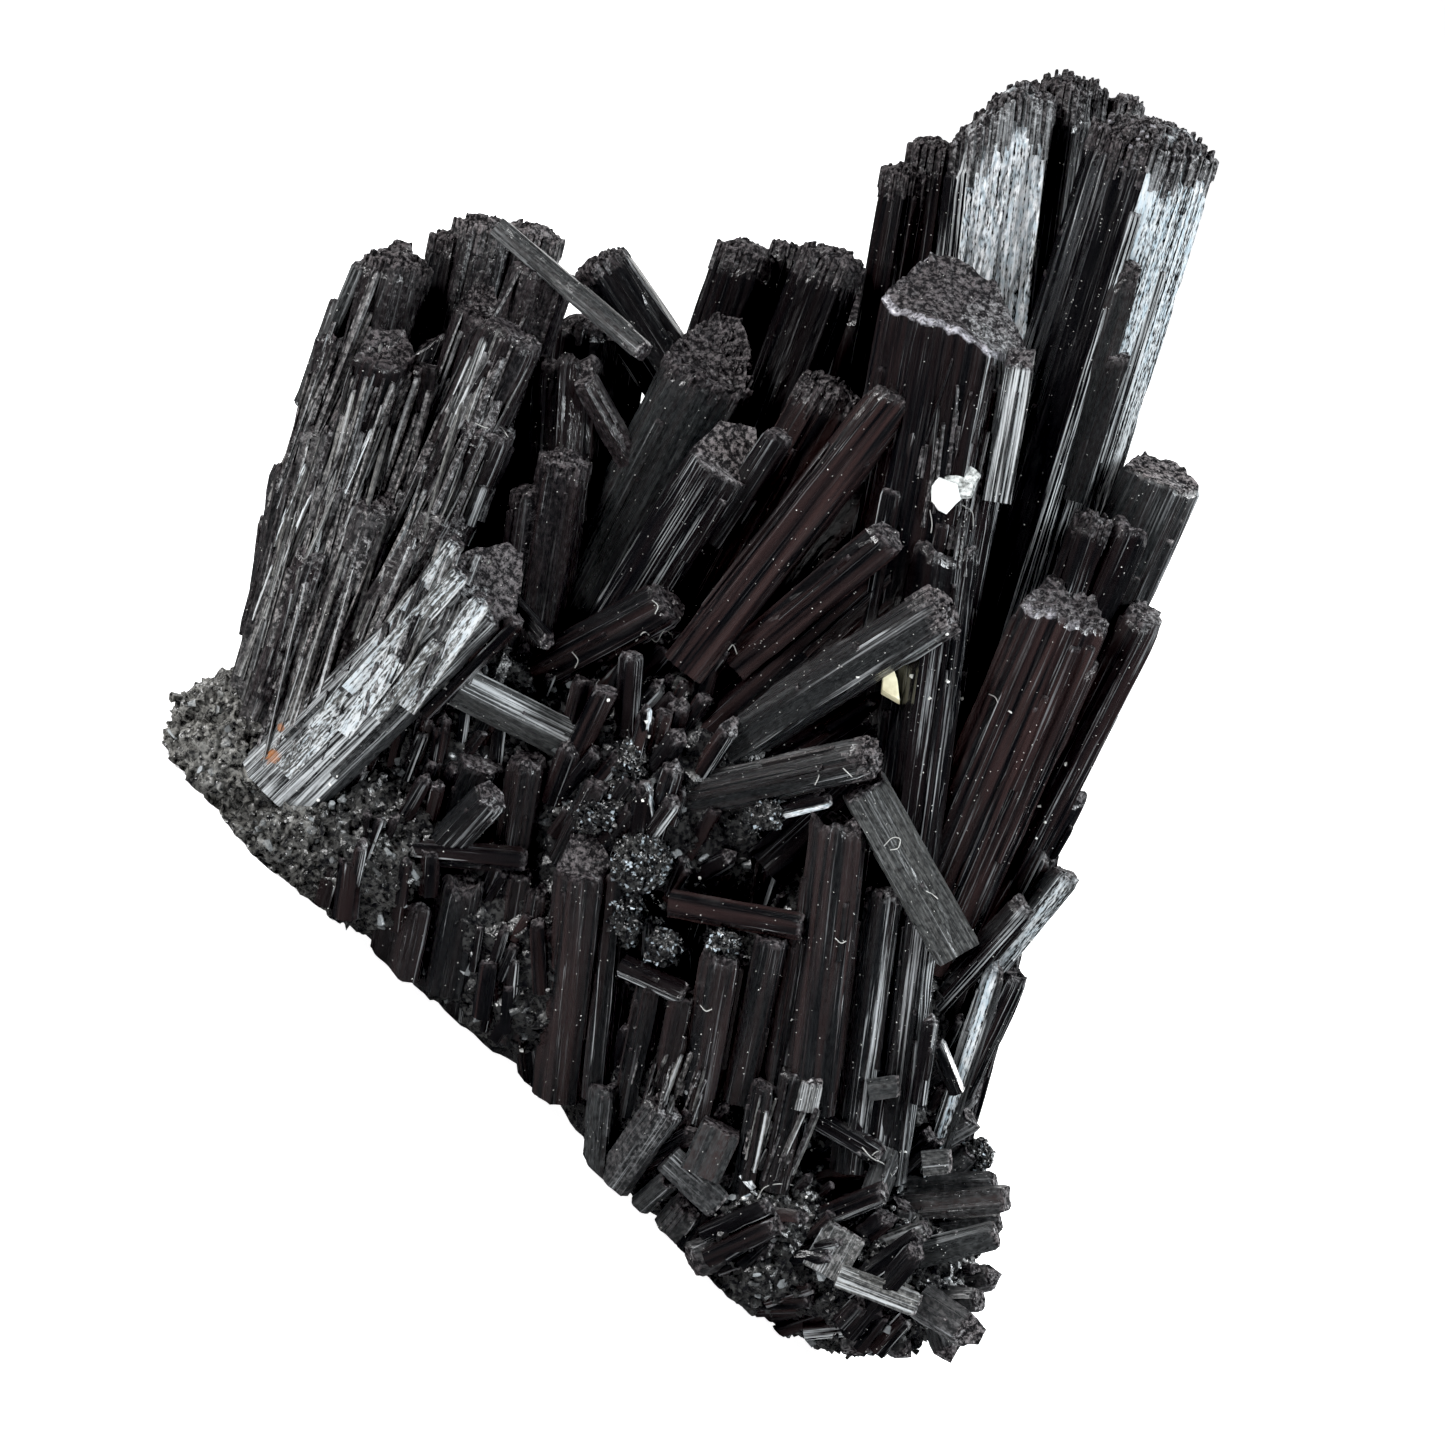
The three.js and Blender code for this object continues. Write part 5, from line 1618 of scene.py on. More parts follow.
@dataclass(frozen=True)
class IronStain:
    """The orange stains on the root, as places in the picture with a radius in millimetres."""

    spots: tuple[tuple[Spot, float], ...] = (((273, 757, -8), 0.55), ((281, 727, -8), 0.3))
    colour: Colour = (0.36, 0.13, 0.03, 1)
    raggedness: float = 2200
    strength: float = 0.6

    def over(self, made: Dressing, colour: Socket) -> Socket:
        """Lays the stains over a colour, on the side that faces the lens.

        Args:
            made: The material under construction.
            colour: The colour that they lie on.

        Returns:
            The stained colour.
        """
        away = tuple(PICTURE.away)
        place = made.node("TexCoord").outputs["Object"]
        ragged = made.noise(place, self.raggedness, 2, 0.6)
        facing = made.vector("DOT_PRODUCT", made.node("NewGeometry").outputs["Normal"], away)["Value"]
        front = made.ramp(facing, -0.1, 0.1, self.strength, 0)
        for spot, radius in self.spots:
            offset = made.vector("SUBTRACT", place, tuple(PICTURE.place(spot) * MM))[0]
            gap = made.vector("LENGTH", made.vector("CROSS_PRODUCT", offset, away)[0])["Value"]
            share = made.ramp(made.minus(made.times(ragged, radius * MM * 2), gap), 0, radius * MM * 0.4)
            colour = made.mix(made.times(share, front), colour, self.colour)
        return colour


@dataclass(frozen=True)
class SchorlFinish:
    """Glossy black tourmaline: fine striations along the prism, brown partly in thin places and partly a
    painted warm reflection, granular ends, painted highlight lines and glints.
    """

    name: str = "schorl_striated"
    black: Colour = (0.0022, 0.0022, 0.0028, 1)
    # brown: partly the brown of thin places and partly a painted warm reflection
    brown: Colour = (0.028, 0.0158, 0.0152, 1)
    # dull grey and its palest step, partly a grey tone and partly a painted sheen
    grey: Colour = (0.036, 0.039, 0.04, 1)
    ash_and_sheen: Colour = (0.19, 0.187, 0.174, 1)
    # faint painted sheen along the striations of dark faces
    painted_sheen_streak: Colour = (0.017, 0.0163, 0.0168, 1)
    # painted highlight lines: dim on plain faces, pale, bluish or white on the faces with most painted
    # highlight
    highlight_dim: Colour = (0.11, 0.112, 0.118, 1)
    highlight_bright: Colour = (0.5, 0.52, 0.53, 1)
    highlight_blue: Colour = (0.20, 0.32, 0.40, 1)
    highlight_white: Colour = (0.86, 0.88, 0.9, 1)
    grain_dark: Colour = (0.008, 0.007, 0.0078, 1)
    grain_mid: Colour = (0.048, 0.037, 0.041, 1)
    grain_light: Colour = (0.21, 0.18, 0.18, 1)
    # pale rim below rough ends, partly wear and partly a painted highlight
    ledge: Colour = (0.44, 0.43, 0.47, 1)
    smooth: float = 0.1
    dull: float = 0.3
    highlight_threshold: float = 0.63
    highlight_threshold_drop: float = 0.18
    ior: float = 1.64

    def material(self) -> Material:
        """Builds the material."""
        made = Dressing(self.name)
        ramp, times, plus, mix = made.ramp, made.times, made.plus, made.mix
        finish = made.node("Attribute", attribute_name=FINISH)
        warm, grain, painted_highlight = made.node("SeparateColor", {0: finish.outputs["Color"]}).outputs
        matte_and_sheen = made.node("Attribute", attribute_name=MATTE_AND_SHEEN).outputs["Fac"]
        skin = made.node("UVMap", uv_map=SKIN_MAP).outputs[0]
        broad = made.stretched(skin, 1.6, 0.05, 2, 0.5)
        long = made.stretched(skin, 4.4, 0.05, 3)
        hair = made.stretched(skin, 8.5, 0.12)
        dash = made.stretched(skin, 8.5, 2.1)
        patch = made.stretched(skin, 0.5, 0.13, 2, 0.5)
        tint = made.stretched(skin, 2.4, 0.9)
        crumb = made.noise(made.node("TexCoord").outputs["Object"], 2900, 3, 0.75)
        # brown tint, partly thin places and partly a painted warm reflection
        colour = mix(times(warm, ramp(broad, 0.42, 0.62)), self.black, self.brown)
        # faint painted sheen along the striations
        colour = mix(times(ramp(hair, 0.5, 0.7, 0, 0.9), ramp(patch, 0.35, 0.6, 0.1)), colour, self.painted_sheen_streak)
        # dull grey where matte_and_sheen is set, partly a grey tone and partly a painted sheen
        mottle = times(ramp(crumb, 0.34, 0.58, 0.25), ramp(dash, 0.36, 0.6, 0.3))
        colour = mix(times(ramp(matte_and_sheen, 0, 0.6), mottle), colour, self.grey)
        ash_and_sheen_share = times(ramp(matte_and_sheen, 0.6, 1), ramp(hair, 0.4, 0.58, 0.1))
        colour = mix(times(ash_and_sheen_share, mottle), colour, self.ash_and_sheen)
        granular = mix(ramp(matte_and_sheen, 0, 1), self.grain_mid, self.grain_light)
        granular = mix(ramp(crumb, 0.46, 0.62), self.grain_dark, granular)
        # painted glints on the granular ends, where the painted highlight is high
        painted_crumb_glint = times(ramp(crumb, 0.5, 0.66, 0, 0.9), ramp(painted_highlight, 0.1, 0.8))
        colour = mix(grain, colour, mix(painted_crumb_glint, granular, self.highlight_bright))
        # painted highlight lines: dim, pale, bluish or white, most on the faces with painted highlight
        lines = times(self.lines(made, long, hair, dash, patch, painted_highlight), ramp(grain, 0.1, 0.9, 1, 0.25))
        bluish_glint = times(ramp(tint, 0.4, 0.65, 0, 0.6), ramp(painted_highlight, 0.72, 0.86))
        painted_glint = mix(bluish_glint, mix(ramp(painted_highlight, 0.86, 1), self.highlight_bright, self.highlight_white), self.highlight_blue)
        colour = mix(lines, colour, mix(ramp(painted_highlight, 0.1, 0.75), self.highlight_dim, painted_glint))
        # pale rim, partly wear and partly a painted highlight
        rim = times(ramp(finish.outputs["Alpha"], 0.8, 1.0, 0, 0.85), ramp(crumb, 0.4, 0.6, 0.1))
        colour = IronStain().over(made, mix(rim, colour, self.ledge))
        rough = plus(ramp(long, 0.35, 0.65, self.smooth, self.dull), times(grain, 0.25))
        rough = plus(rough, times(matte_and_sheen, 0.2))
        gloss = plus(times(grain, ramp(crumb, 0.44, 0.62, -0.44, 0.3)), 0.5)
        relief = plus(times(long, 0.6), times(dash, 0.4))
        striae = made.node("Bump", {"Height": relief, "Strength": 1.0, "Distance": 0.00007}).outputs[0]
        crumbs = {"Height": times(grain, crumb), "Strength": 0.9, "Distance": 0.0003, "Normal": striae}
        bumps = made.node("Bump", crumbs).outputs[0]
        return made.finish(colour, rough, bumps, IOR=self.ior, Specular_IOR_Level=gloss)

    def lines(
        self, made: Dressing, long: Socket, hair: Socket, dash: Socket, patch: Socket, painted_highlight: Socket
    ) -> Socket:
        """Lays the painted highlight lines along the prism, thin and few on plain faces and dense on those
        with most painted highlight.

        Args:
            made: The material under construction.
            long: The pattern of long lines.
            hair: The pattern of the thinnest lines.
            dash: The pattern of broken lines.
            patch: Where lines gather.
            painted_highlight: How much painted highlight each place has.

        Returns:
            The share of line at each place.
        """
        plus, minus, times = made.plus, made.minus, made.times
        smooth = plus(times(long, 0.5), times(hair, 0.5))
        broken = plus(times(long, 0.55), times(dash, 0.45))
        more = times(minus(broken, smooth), made.ramp(painted_highlight, 0.66, 0.8, 0.12))
        mixed = plus(plus(smooth, more), made.ramp(patch, 0.3, 0.7, -0.04, 0.04))
        least = minus(self.highlight_threshold, times(painted_highlight, self.highlight_threshold_drop))
        return made.ramp(minus(mixed, least), -0.035, 0.065)


@dataclass(frozen=True)
class GranularFinish:
    """A mass of small crystals: black and dark grey grains, a few of them painted light as glints, with dust
    between.
    """

    name: str = "schorl_granular"
    dark: Colour = (0.004, 0.004, 0.005, 1)
    light: Colour = (0.05, 0.052, 0.05, 1)
    # the colour in which a few random grains are painted as glints
    painted_glint: Colour = (0.32, 0.34, 0.35, 1)
    dust: Colour = (0.21, 0.205, 0.19, 1)
    smooth: float = 0.1
    dull: float = 0.45
    ior: float = 1.64

    def material(self) -> Material:
        """Builds the material."""
        made = Dressing(self.name)
        ramp, times = made.ramp, made.times
        place = made.node("TexCoord").outputs["Object"]
        tone = made.node("Attribute", attribute_name=TONE).outputs["Fac"]
        shares = made.node("Attribute", attribute_name=FINISH).outputs["Color"]
        dusty = made.node("SeparateColor", {0: shares}).outputs[0]
        patch = made.noise(place, 420, 3, 0.6)
        crumb = made.noise(place, 2600, 3, 0.7)
        colour = made.mix(times(ramp(crumb, 0.5, 0.78), ramp(patch, 0.4, 0.65, 0.1)), self.dark, self.light)
        covered = times(times(dusty, ramp(crumb, 0.38, 0.6)), ramp(patch, 0.3, 0.55, 0.3))
        colour = made.mix(covered, colour, self.dust)
        # a few random grains painted light as glints
        colour = made.mix(ramp(tone, 0.8, 1.0, 0, 0.8), colour, self.painted_glint)
        colour = IronStain().over(made, colour)
        rough = ramp(crumb, 0.35, 0.65, self.smooth, self.dull)
        bumps = made.node("Bump", {"Height": crumb, "Strength": 0.7, "Distance": 0.00015}).outputs[0]
        return made.finish(colour, rough, bumps, IOR=self.ior)


@dataclass(frozen=True)
class PlainFinish:
    """A pale finish with a little mottling: mica, feldspar, dust, lint or the floor."""

    name: str
    light: Colour
    dark: Colour
    roughness: float
    scale: float = 1500
    relief: float = 0.0001

    def material(self) -> Material:
        """Builds the material."""
        made = Dressing(self.name)
        mottle = made.noise(made.node("TexCoord").outputs["Object"], self.scale, 3, 0.6)
        colour = made.mix(made.ramp(mottle, 0.35, 0.65), self.dark, self.light)
        bumps = made.node("Bump", {"Height": mottle, "Strength": 0.4, "Distance": self.relief}).outputs[0]
        return made.finish(colour, self.roughness, bumps)


@dataclass(frozen=True)
class Grain:
    """The form that is sown: a small six-sided prism that narrows to its tip, or a round speck."""

    sides: int = 6
    tip: float = 0.5
    tall: float = 2.0
    sunk: float = 0.9


@dataclass(frozen=True)
class Sowing:
    """A geometry tree that sows grains on a form, on its faces or on its loose points."""

    name: str
    per_square_mm: float
    least: float
    most: float
    seed: int
    on_points: bool = False
    grain: Grain = Grain()
    tilt: float = math.pi

    def tree(self) -> bpy.types.NodeTree:
        """Builds the geometry tree, with named inputs for its sizes."""
        tree = bpy.data.node_groups.new(self.name, "GeometryNodeTree")
        kinds = {"Form": "Geometry", "Density": "Float", "Least Size": "Float", "Most Size": "Float"}
        kinds |= {"Tilt": "Float", "Seed": "Int", "Finish": "Material"}
        for label, kind in kinds.items():
            tree.interface.new_socket(label, in_out="INPUT", socket_type="NodeSocket" + kind)
        tree.interface.new_socket("Grains", in_out="OUTPUT", socket_type="NodeSocketGeometry")
        wiring = Wiring(tree)
        given = wiring.node("NodeGroupInput").outputs
        seed = {"Seed": given["Seed"]}
        shape = {"Vertices": self.grain.sides, "Radius Top": self.grain.tip, "Depth": self.grain.tall}
        cone = wiring.node("GeometryNodeMeshCone", shape | {"Radius Bottom": 1.0}).outputs["Mesh"]
        sunk = {"Geometry": cone, "Translation": (0, 0, -self.grain.sunk)}
        grain = wiring.node("GeometryNodeTransform", sunk).outputs[0]
        upright = wiring.node("GeometryNodeInputNamedAttribute", {"Name": ALONG}, data_type="FLOAT_VECTOR")
        stand = {"Vector": upright.outputs["Attribute"]}
        stood = wiring.node("FunctionNodeAlignRotationToVector", stand, axis="Z").outputs[0]
        sizes = {0: given["Least Size"], 1: given["Most Size"]}
        size = wiring.node("FunctionNodeRandomValue", sizes | seed, data_type="FLOAT_VECTOR").outputs[0]
        spots = {"Points": self.points(wiring, given), "Instance": grain, "Rotation": stood, "Scale": size}
        placed = wiring.node("GeometryNodeInstanceOnPoints", spots).outputs[0]
        # a random tone for each grain, which the granular finish uses to paint a few as glints
        tone = wiring.node("FunctionNodeRandomValue", seed, data_type="FLOAT").outputs[1]
        toned = wiring.node(
            "GeometryNodeStoreNamedAttribute",
            {"Geometry": placed, "Name": TONE, "Value": tone},
            data_type="FLOAT",
            domain="INSTANCE",
        ).outputs[0]
        leaning = {"Instances": toned, "Rotation": self.turning(wiring, given)}
        turned = wiring.node("GeometryNodeRotateInstances", leaning).outputs[0]
        flat = wiring.node("GeometryNodeRealizeInstances", {"Geometry": turned}).outputs[0]
        coated = {"Geometry": flat, "Material": given["Finish"]}
        grains = wiring.node("GeometryNodeSetMaterial", coated).outputs[0]
        wiring.node("NodeGroupOutput", {0: grains})
        return tree

    def points(self, wiring: Wiring, given: bpy.types.NodeOutputs) -> Socket:
        """Adds the nodes that choose where the grains lie.

        Args:
            wiring: The tree under construction.
            given: Its inputs.

        Returns:
            The points.
        """
        if self.on_points:
            return wiring.node("GeometryNodeMeshToPoints", {"Mesh": given["Form"]}).outputs[0]
        finish = wiring.node("GeometryNodeInputNamedAttribute", {"Name": FINISH}, data_type="FLOAT_COLOR")
        shares = wiring.node("FunctionNodeSeparateColor", {"Color": finish.outputs["Attribute"]}).outputs
        crowd = {0: given["Density"], 1: shares["Green"]}
        density = wiring.node("ShaderNodeMath", crowd, operation="MULTIPLY").outputs[0]
        ground = {"Mesh": given["Form"], "Density": density, "Seed": given["Seed"]}
        return wiring.node("GeometryNodeDistributePointsOnFaces", ground).outputs["Points"]

    @staticmethod
    def turning(wiring: Wiring, given: bpy.types.NodeOutputs) -> Socket:
        """Adds the nodes that lean each grain by up to Tilt and turn it about itself.

        Args:
            wiring: The tree under construction.
            given: Its inputs.

        Returns:
            The turn of each grain.
        """
        tilt = given["Tilt"]
        most = wiring.node("ShaderNodeCombineXYZ", {0: tilt, 1: tilt, 2: math.pi}).outputs[0]
        least = wiring.node("ShaderNodeVectorMath", {0: most, "Scale": -1}, operation="SCALE").outputs[0]
        inputs = {0: least, 1: most, "Seed": given["Seed"]}
        return wiring.node("FunctionNodeRandomValue", inputs, data_type="FLOAT_VECTOR").outputs[0]

    def build(self, form: Mesh, material: Material) -> None:
        """Sows the grains and makes them one plain piece.

        Args:
            form: What they are sown on.
            material: Their finish.
        """
        carrier = bpy.data.objects.new(form.name, form)
        bpy.context.scene.collection.objects.link(carrier)
        modifier = carrier.modifiers.new("sowing", "NODES")
        modifier.node_group = self.tree()
        values = {
            "Density": self.per_square_mm / MM**2,
            "Least Size": self.least * MM,
            "Most Size": self.most * MM,
            "Tilt": self.tilt,
            "Seed": self.seed,
            "Finish": material,
        }
        for socket in modifier.node_group.interface.items_tree:
            if socket.name in values:
                modifier[socket.identifier] = values[socket.name]
        graph = bpy.context.evaluated_depsgraph_get()
        made = bpy.data.meshes.new_from_object(carrier.evaluated_get(graph))
        made.name = self.name
        carrier.modifiers.remove(modifier)
        bpy.data.objects.remove(carrier)
        bring_in(made, material)


KNOB_GRAINS = Sowing("knob_grains", 10.0, 0.05, 0.15, 3, grain=Grain(5, 0.5, 2.4, 1.2))
ROOT_GRAINS = Sowing("root_grains", 0.55, 0.16, 0.42, 5)
SPECKS = Sowing("dust", 0, 0.012, 0.055, 7, True, Grain(4, 0.6, 1.2, 0.5))
BITS = Sowing("pale_bits", 0, 0.07, 0.18, 9, True, Grain(5, 0.7, 1.3, 0.4))


def cloud(hits: list[Hit], name: str) -> Mesh:
    """Makes a mesh of loose points in metres, each with the direction that a grain on it stands in.

    Args:
        hits: The places on a surface.
        name: The mesh's name.

    Returns:
        The mesh.
    """
    found = [hit for hit in hits if hit is not None]
    made = bpy.data.meshes.new(name)
    made.from_pydata([tuple(point * MM) for point, _ in found], [], [])
    along = made.attributes.new(ALONG, "FLOAT_VECTOR", "POINT")
    along.data.foreach_set("vector", np.ravel([outward for _, outward in found]))
    return made


@dataclass
class Surface:
    """The outer surface of all crystals together, for finding where small things lie on it."""

    shells: list[Shell]
    tree: BVHTree = field(init=False)

    def __post_init__(self) -> None:
        """Gathers the shells into one search tree."""
        points = [shell.every("points") for shell in self.shells]
        faces: list[list[int]] = []
        for number, shell in enumerate(self.shells):
            faces += shell.faces(sum(map(len, points[:number])))
        self.tree = BVHTree.FromPolygons(np.concatenate(points).tolist(), faces)

    def hit(self, start: Array, line: Array) -> Hit:
        """Finds where a line first meets the surface.

        Args:
            start: Where the line starts, in millimetres.
            line: Its direction.

        Returns:
            The point and the outward direction there, or None where the line misses.
        """
        point, facing, _, _ = self.tree.ray_cast(Vector(start), Vector(line))
        if point is None:
            return None
        outward = np.array(facing)
        return np.array(point), -outward if outward @ line > 0 else outward

    def under(self, across: float, down: float) -> Hit:
        """Finds the surface under a pixel of the picture."""
        return self.hit(PICTURE.eye, PICTURE.ray(across, down))


@dataclass(frozen=True)
class Dust:
    """Specks of dust that lie all over the cluster, most of them on the side that faces the lens."""

    in_view: int = 7000
    cell: float = 48
    all_round: int = 2600
    from_afar: float = 150
    view: tuple[float, float] = (160, 1360)
    seed: int = 77

    def form(self, surface: Surface) -> Mesh:
        """Finds where the specks lie.

        Args:
            surface: The surface that they lie on.

        Returns:
            A mesh of loose points.
        """
        draw = np.random.default_rng(self.seed)
        low, high = (np.array(corner) / MM for corner in CAD_BOX)
        middle = (low + high) / 2
        found: list[Hit] = []
        for _ in range(self.in_view):
            spot = draw.uniform(*self.view, 2)
            crowd = float(lot(*np.floor(spot / self.cell), self.seed))
            if draw.random() < 0.15 + 0.85 * crowd**2:
                found.append(surface.under(*spot))
        for _ in range(self.all_round):
            line = draw.normal(size=3)
            line[2] = abs(line[2]) * 0.8 - 0.2
            line = unit(line)
            target = middle + (draw.random(3) - 0.5) * (high - low)
            found.append(surface.hit(target + line * self.from_afar, -line))
        return cloud(found, "dust_spots")


PALE_BITS = (
    (1066, 764), (1040, 806), (1045, 822), (1036, 838), (1031, 940), (1036, 948), (370, 779), (318, 800),
    (330, 784), (337, 776), (758, 1192), (744, 1198), (947, 634), (962, 698), (948, 681), (912, 676),
    (858, 677), (646, 722), (649, 736), (643, 800), (806, 1197), (813, 1200), (700, 878), (703, 886),
    (608, 700), (930, 698), (1010, 712), (497, 1005), (512, 1010), (522, 1050), (660, 905), (716, 1215),
    (812, 1150), (905, 1152), (352, 1180),
)


@dataclass(frozen=True)
class Lint:
    """Fine pale threads that lie on the cluster, each given by pixels that it passes."""

    name: str = "lint"
    threads: tuple[tuple[tuple[float, float], ...], ...] = (
        ((636, 641), (645, 632), (656, 642), (664, 631), (673, 636), (668, 643)),
        ((816, 766), (819, 775), (815, 785)),
        ((843, 768), (852, 777), (858, 784), (848, 777), (846, 786)),
        ((475, 423), (487, 428), (500, 427), (508, 437), (513, 446)),
        ((757, 1200), (764, 1188), (777, 1184), (793, 1185)),
        ((884, 846), (892, 838), (900, 839), (898, 848), (890, 850)),
        ((926, 891), (932, 894), (938, 899)),
        ((862, 1147), (872, 1158), (884, 1164), (892, 1176)),
        ((868, 1160), (876, 1152), (886, 1150)),
        ((493, 503), (505, 506), (516, 503)),
        ((989, 694), (995, 697), (998, 703)),
        ((728, 650), (733, 645), (737, 654)),
        ((652, 600), (658, 606), (655, 614)),
        ((930, 510), (932, 524), (931, 533)),
        ((962, 505), (972, 512), (973, 526)),
        ((572, 652), (578, 660), (575, 668)),
        ((700, 1005), (706, 1011), (712, 1009)),
        ((835, 938), (841, 943), (846, 941)),
    )
    thick: float = 0.032
    lift: float = 0.07
    pieces: int = 6
    sides: int = 4

    def mesh(self, surface: Surface) -> Mesh:
        """Lays the threads on a surface and makes them one mesh.

        Args:
            surface: The surface.

        Returns:
            The mesh.
        """
        points: list[tuple[float, float, float]] = []
        faces: list[tuple[int, ...]] = []
        for thread in self.threads:
            hits = [surface.under(*spot) for spot in thread]
            knots = np.array([hit[0] - PICTURE.away * self.lift for hit in hits if hit is not None])
            if len(knots) > 1:
                self.spin(self.smooth(knots), points, faces)
        made = bpy.data.meshes.new(self.name)
        made.from_pydata(points, [], faces)
        return made

    def smooth(self, knots: Array) -> Array:
        """Draws a smooth line through a thread.

        Args:
            knots: The points that it passes.

        Returns:
            The line's points.
        """
        ends = np.concatenate([2 * knots[:1] - knots[1:2], knots, 2 * knots[-1:] - knots[-2:-1]])
        share = np.linspace(0, 1, self.pieces, endpoint=False)[:, None]
        parts = []
        for a, b, c, d in zip(ends, ends[1:], ends[2:], ends[3:]):
            bend = (2 * a - 5 * b + 4 * c - d) * share**2 + (3 * b - a - 3 * c + d) * share**3
            parts.append(b + 0.5 * ((c - a) * share + bend))
        return np.concatenate([*parts, knots[-1:]])

    def spin(self, line: Array, points: list, faces: list) -> None:
        """Wraps a closed tube round a line.

        Args:
            line: The line's points, in millimetres.
            points: The mesh's points, in metres, which the tube's are added to.
            faces: The mesh's faces, likewise.
        """
        start = len(points)
        for here, after in zip(line, np.concatenate([line[1:], 2 * line[-1:] - line[-2:-1]])):
            way = (after - here) / (np.linalg.norm(after - here) + 1e-9)
            side = np.cross(way, PICTURE.away)
            side = side / (np.linalg.norm(side) + 1e-9)
            for number in range(self.sides):
                angle = math.tau * number / self.sides
                spot = here + self.thick * (math.cos(angle) * side + math.sin(angle) * np.cross(side, way))
                points.append(tuple(spot * MM))
        for row in range(len(line) - 1):
            low = start + row * self.sides
            high = low + self.sides
            for number in range(self.sides):
                beside = (number + 1) % self.sides
                faces.append((low + beside, low + number, high + number, high + beside))
        faces.append(tuple(range(start, start + self.sides)))
        faces.append(tuple(range(len(points) - 1, len(points) - 1 - self.sides, -1)))


@dataclass(frozen=True)
class Chip:
    """A thin plate of another mineral, as an outline in picture millimetres, in a pocket of a crystal."""

    name: str
    node: str
    slot: str
    at: Spot
    corners: tuple[tuple[float, float], ...]
    thick: float
    lean: float
    layers: int
    finish: PlainFinish

    def build(self) -> None:
        """Makes the plate, with uneven layers and worn edges."""
        turned = Matrix([PICTURE.right, PICTURE.up, -PICTURE.away]).transposed().to_4x4()
        turned.translation = Vector(PICTURE.place(self.at))
        turned = turned @ Matrix.Rotation(math.radians(self.lean), 4, "X")
        plate = bmesh.new()
        each = self.thick / self.layers
        for layer in range(self.layers):
            low = -self.thick / 2 + layer * each
            rim = []
            for number, (x, y) in enumerate(self.corners):
                reach = 1 - 0.13 * chance(layer * 17 + len(self.corners), number) * (layer > 0)
                rim.append((x * reach, y * reach))
            lower = [plate.verts.new((x, y, low)) for x, y in rim]
            upper = [plate.verts.new((x * 0.97, y * 0.97, low + each * 1.02)) for x, y in rim]
            plate.faces.new(lower[::-1])
            plate.faces.new(upper)
            for number in range(len(rim)):
                after = (number + 1) % len(rim)
                plate.faces.new((lower[number], lower[after], upper[after], upper[number]))
        bmesh.ops.bevel(plate, geom=plate.edges[:], offset=0.05, segments=2, affect="EDGES", profile=0.6)
        plate.transform(Matrix.Scale(MM, 4) @ turned)
        bmesh.ops.recalc_face_normals(plate, faces=plate.faces[:])
        made = bpy.data.meshes.new(self.name)
        plate.to_mesh(made)
        plate.free()
        bring_in(made, self.finish.material(), self.node, self.slot)


MICA = Chip(
    "mica_plate",
    "mica_flake",
    "mica",
    (948, 490, -5.6),
    ((-1.1, 0.25), (-1.05, -0.75), (-0.6, -1.35), (-0.1, -1.6),
     (0.25, -1.1), (0.9, -0.6), (0.6, 0.4), (-0.6, 0.85)),
    0.8,
    8,
    3,
    PlainFinish("mica_pearl", (0.86, 0.87, 0.86, 1), (0.66, 0.68, 0.67, 1), 0.3, 700),
)
MICA_LEAF = Chip(
    "mica_leaf",
    "mica_flake",
    "mica",
    (950, 488, -5.5),
    ((-0.5, 0.2), (0.3, -0.7), (1.4, -0.6), (1.65, 0.35), (2.0, 0.8),
     (1.75, 1.2), (0.95, 1.8), (0.6, 1.3), (-0.3, 0.95)),
    0.5,
    -14,
    5,
    PlainFinish("mica_clear", (0.62, 0.64, 0.63, 1), (0.07, 0.075, 0.07, 1), 0.25, 2600, 0.0002),
)
FELDSPAR = Chip(
    "feldspar_piece",
    "feldspar_chip",
    "feldspar",
    (892, 686, -6.3),
    ((-0.7, -0.4), (0.5, -1.1), (0.35, 0.3), (-0.05, 1.6), (-0.6, 0.7)),
    1.3,
    -10,
    2,
    PlainFinish("feldspar_cream", (0.85, 0.80, 0.58, 1), (0.55, 0.49, 0.30, 1), 0.5, 900),
)


@dataclass(frozen=True)
class Lamp:
    """A soft square light that points at the cluster.

    offset is its place in metres to the picture's right, up and towards the lens, size its breadth in
    metres and power its power in watts.
    """

    name: str
    offset: Spot
    size: float
    power: float
    colour: Spot = (1.0, 1.0, 1.0)

    def hang(self) -> None:
        """Hangs the light."""
        lamp = bpy.data.lights.new(self.name, "AREA")
        lamp.shape = "SQUARE"
        lamp.size = self.size
        lamp.energy = self.power
        lamp.color = self.colour
        hung = bpy.data.objects.new(self.name, lamp)
        bpy.context.scene.collection.objects.link(hung)
        low, high = CAD_BOX
        target = (low + high) / 2
        right, up, near = (Vector(line) for line in (PICTURE.right, PICTURE.up, -PICTURE.away))
        hung.location = target + right * self.offset[0] + up * self.offset[1] + near * self.offset[2]
        hung.rotation_mode = "QUATERNION"
        hung.rotation_quaternion = (target - hung.location).to_track_quat("-Z", "Y")


LAMPS = (
    Lamp("window_right", (0.38, 0.08, 0.16), 0.16, 2.8, (0.92, 0.97, 1.0)),
    Lamp("window_left", (-0.22, 0.30, 0.24), 0.14, 2.2),
    Lamp("back", (0.1, 0.25, -0.35), 0.3, 0.6),
    Lamp("rim", (0.36, 0.02, -0.2), 0.1, 0.9),
)


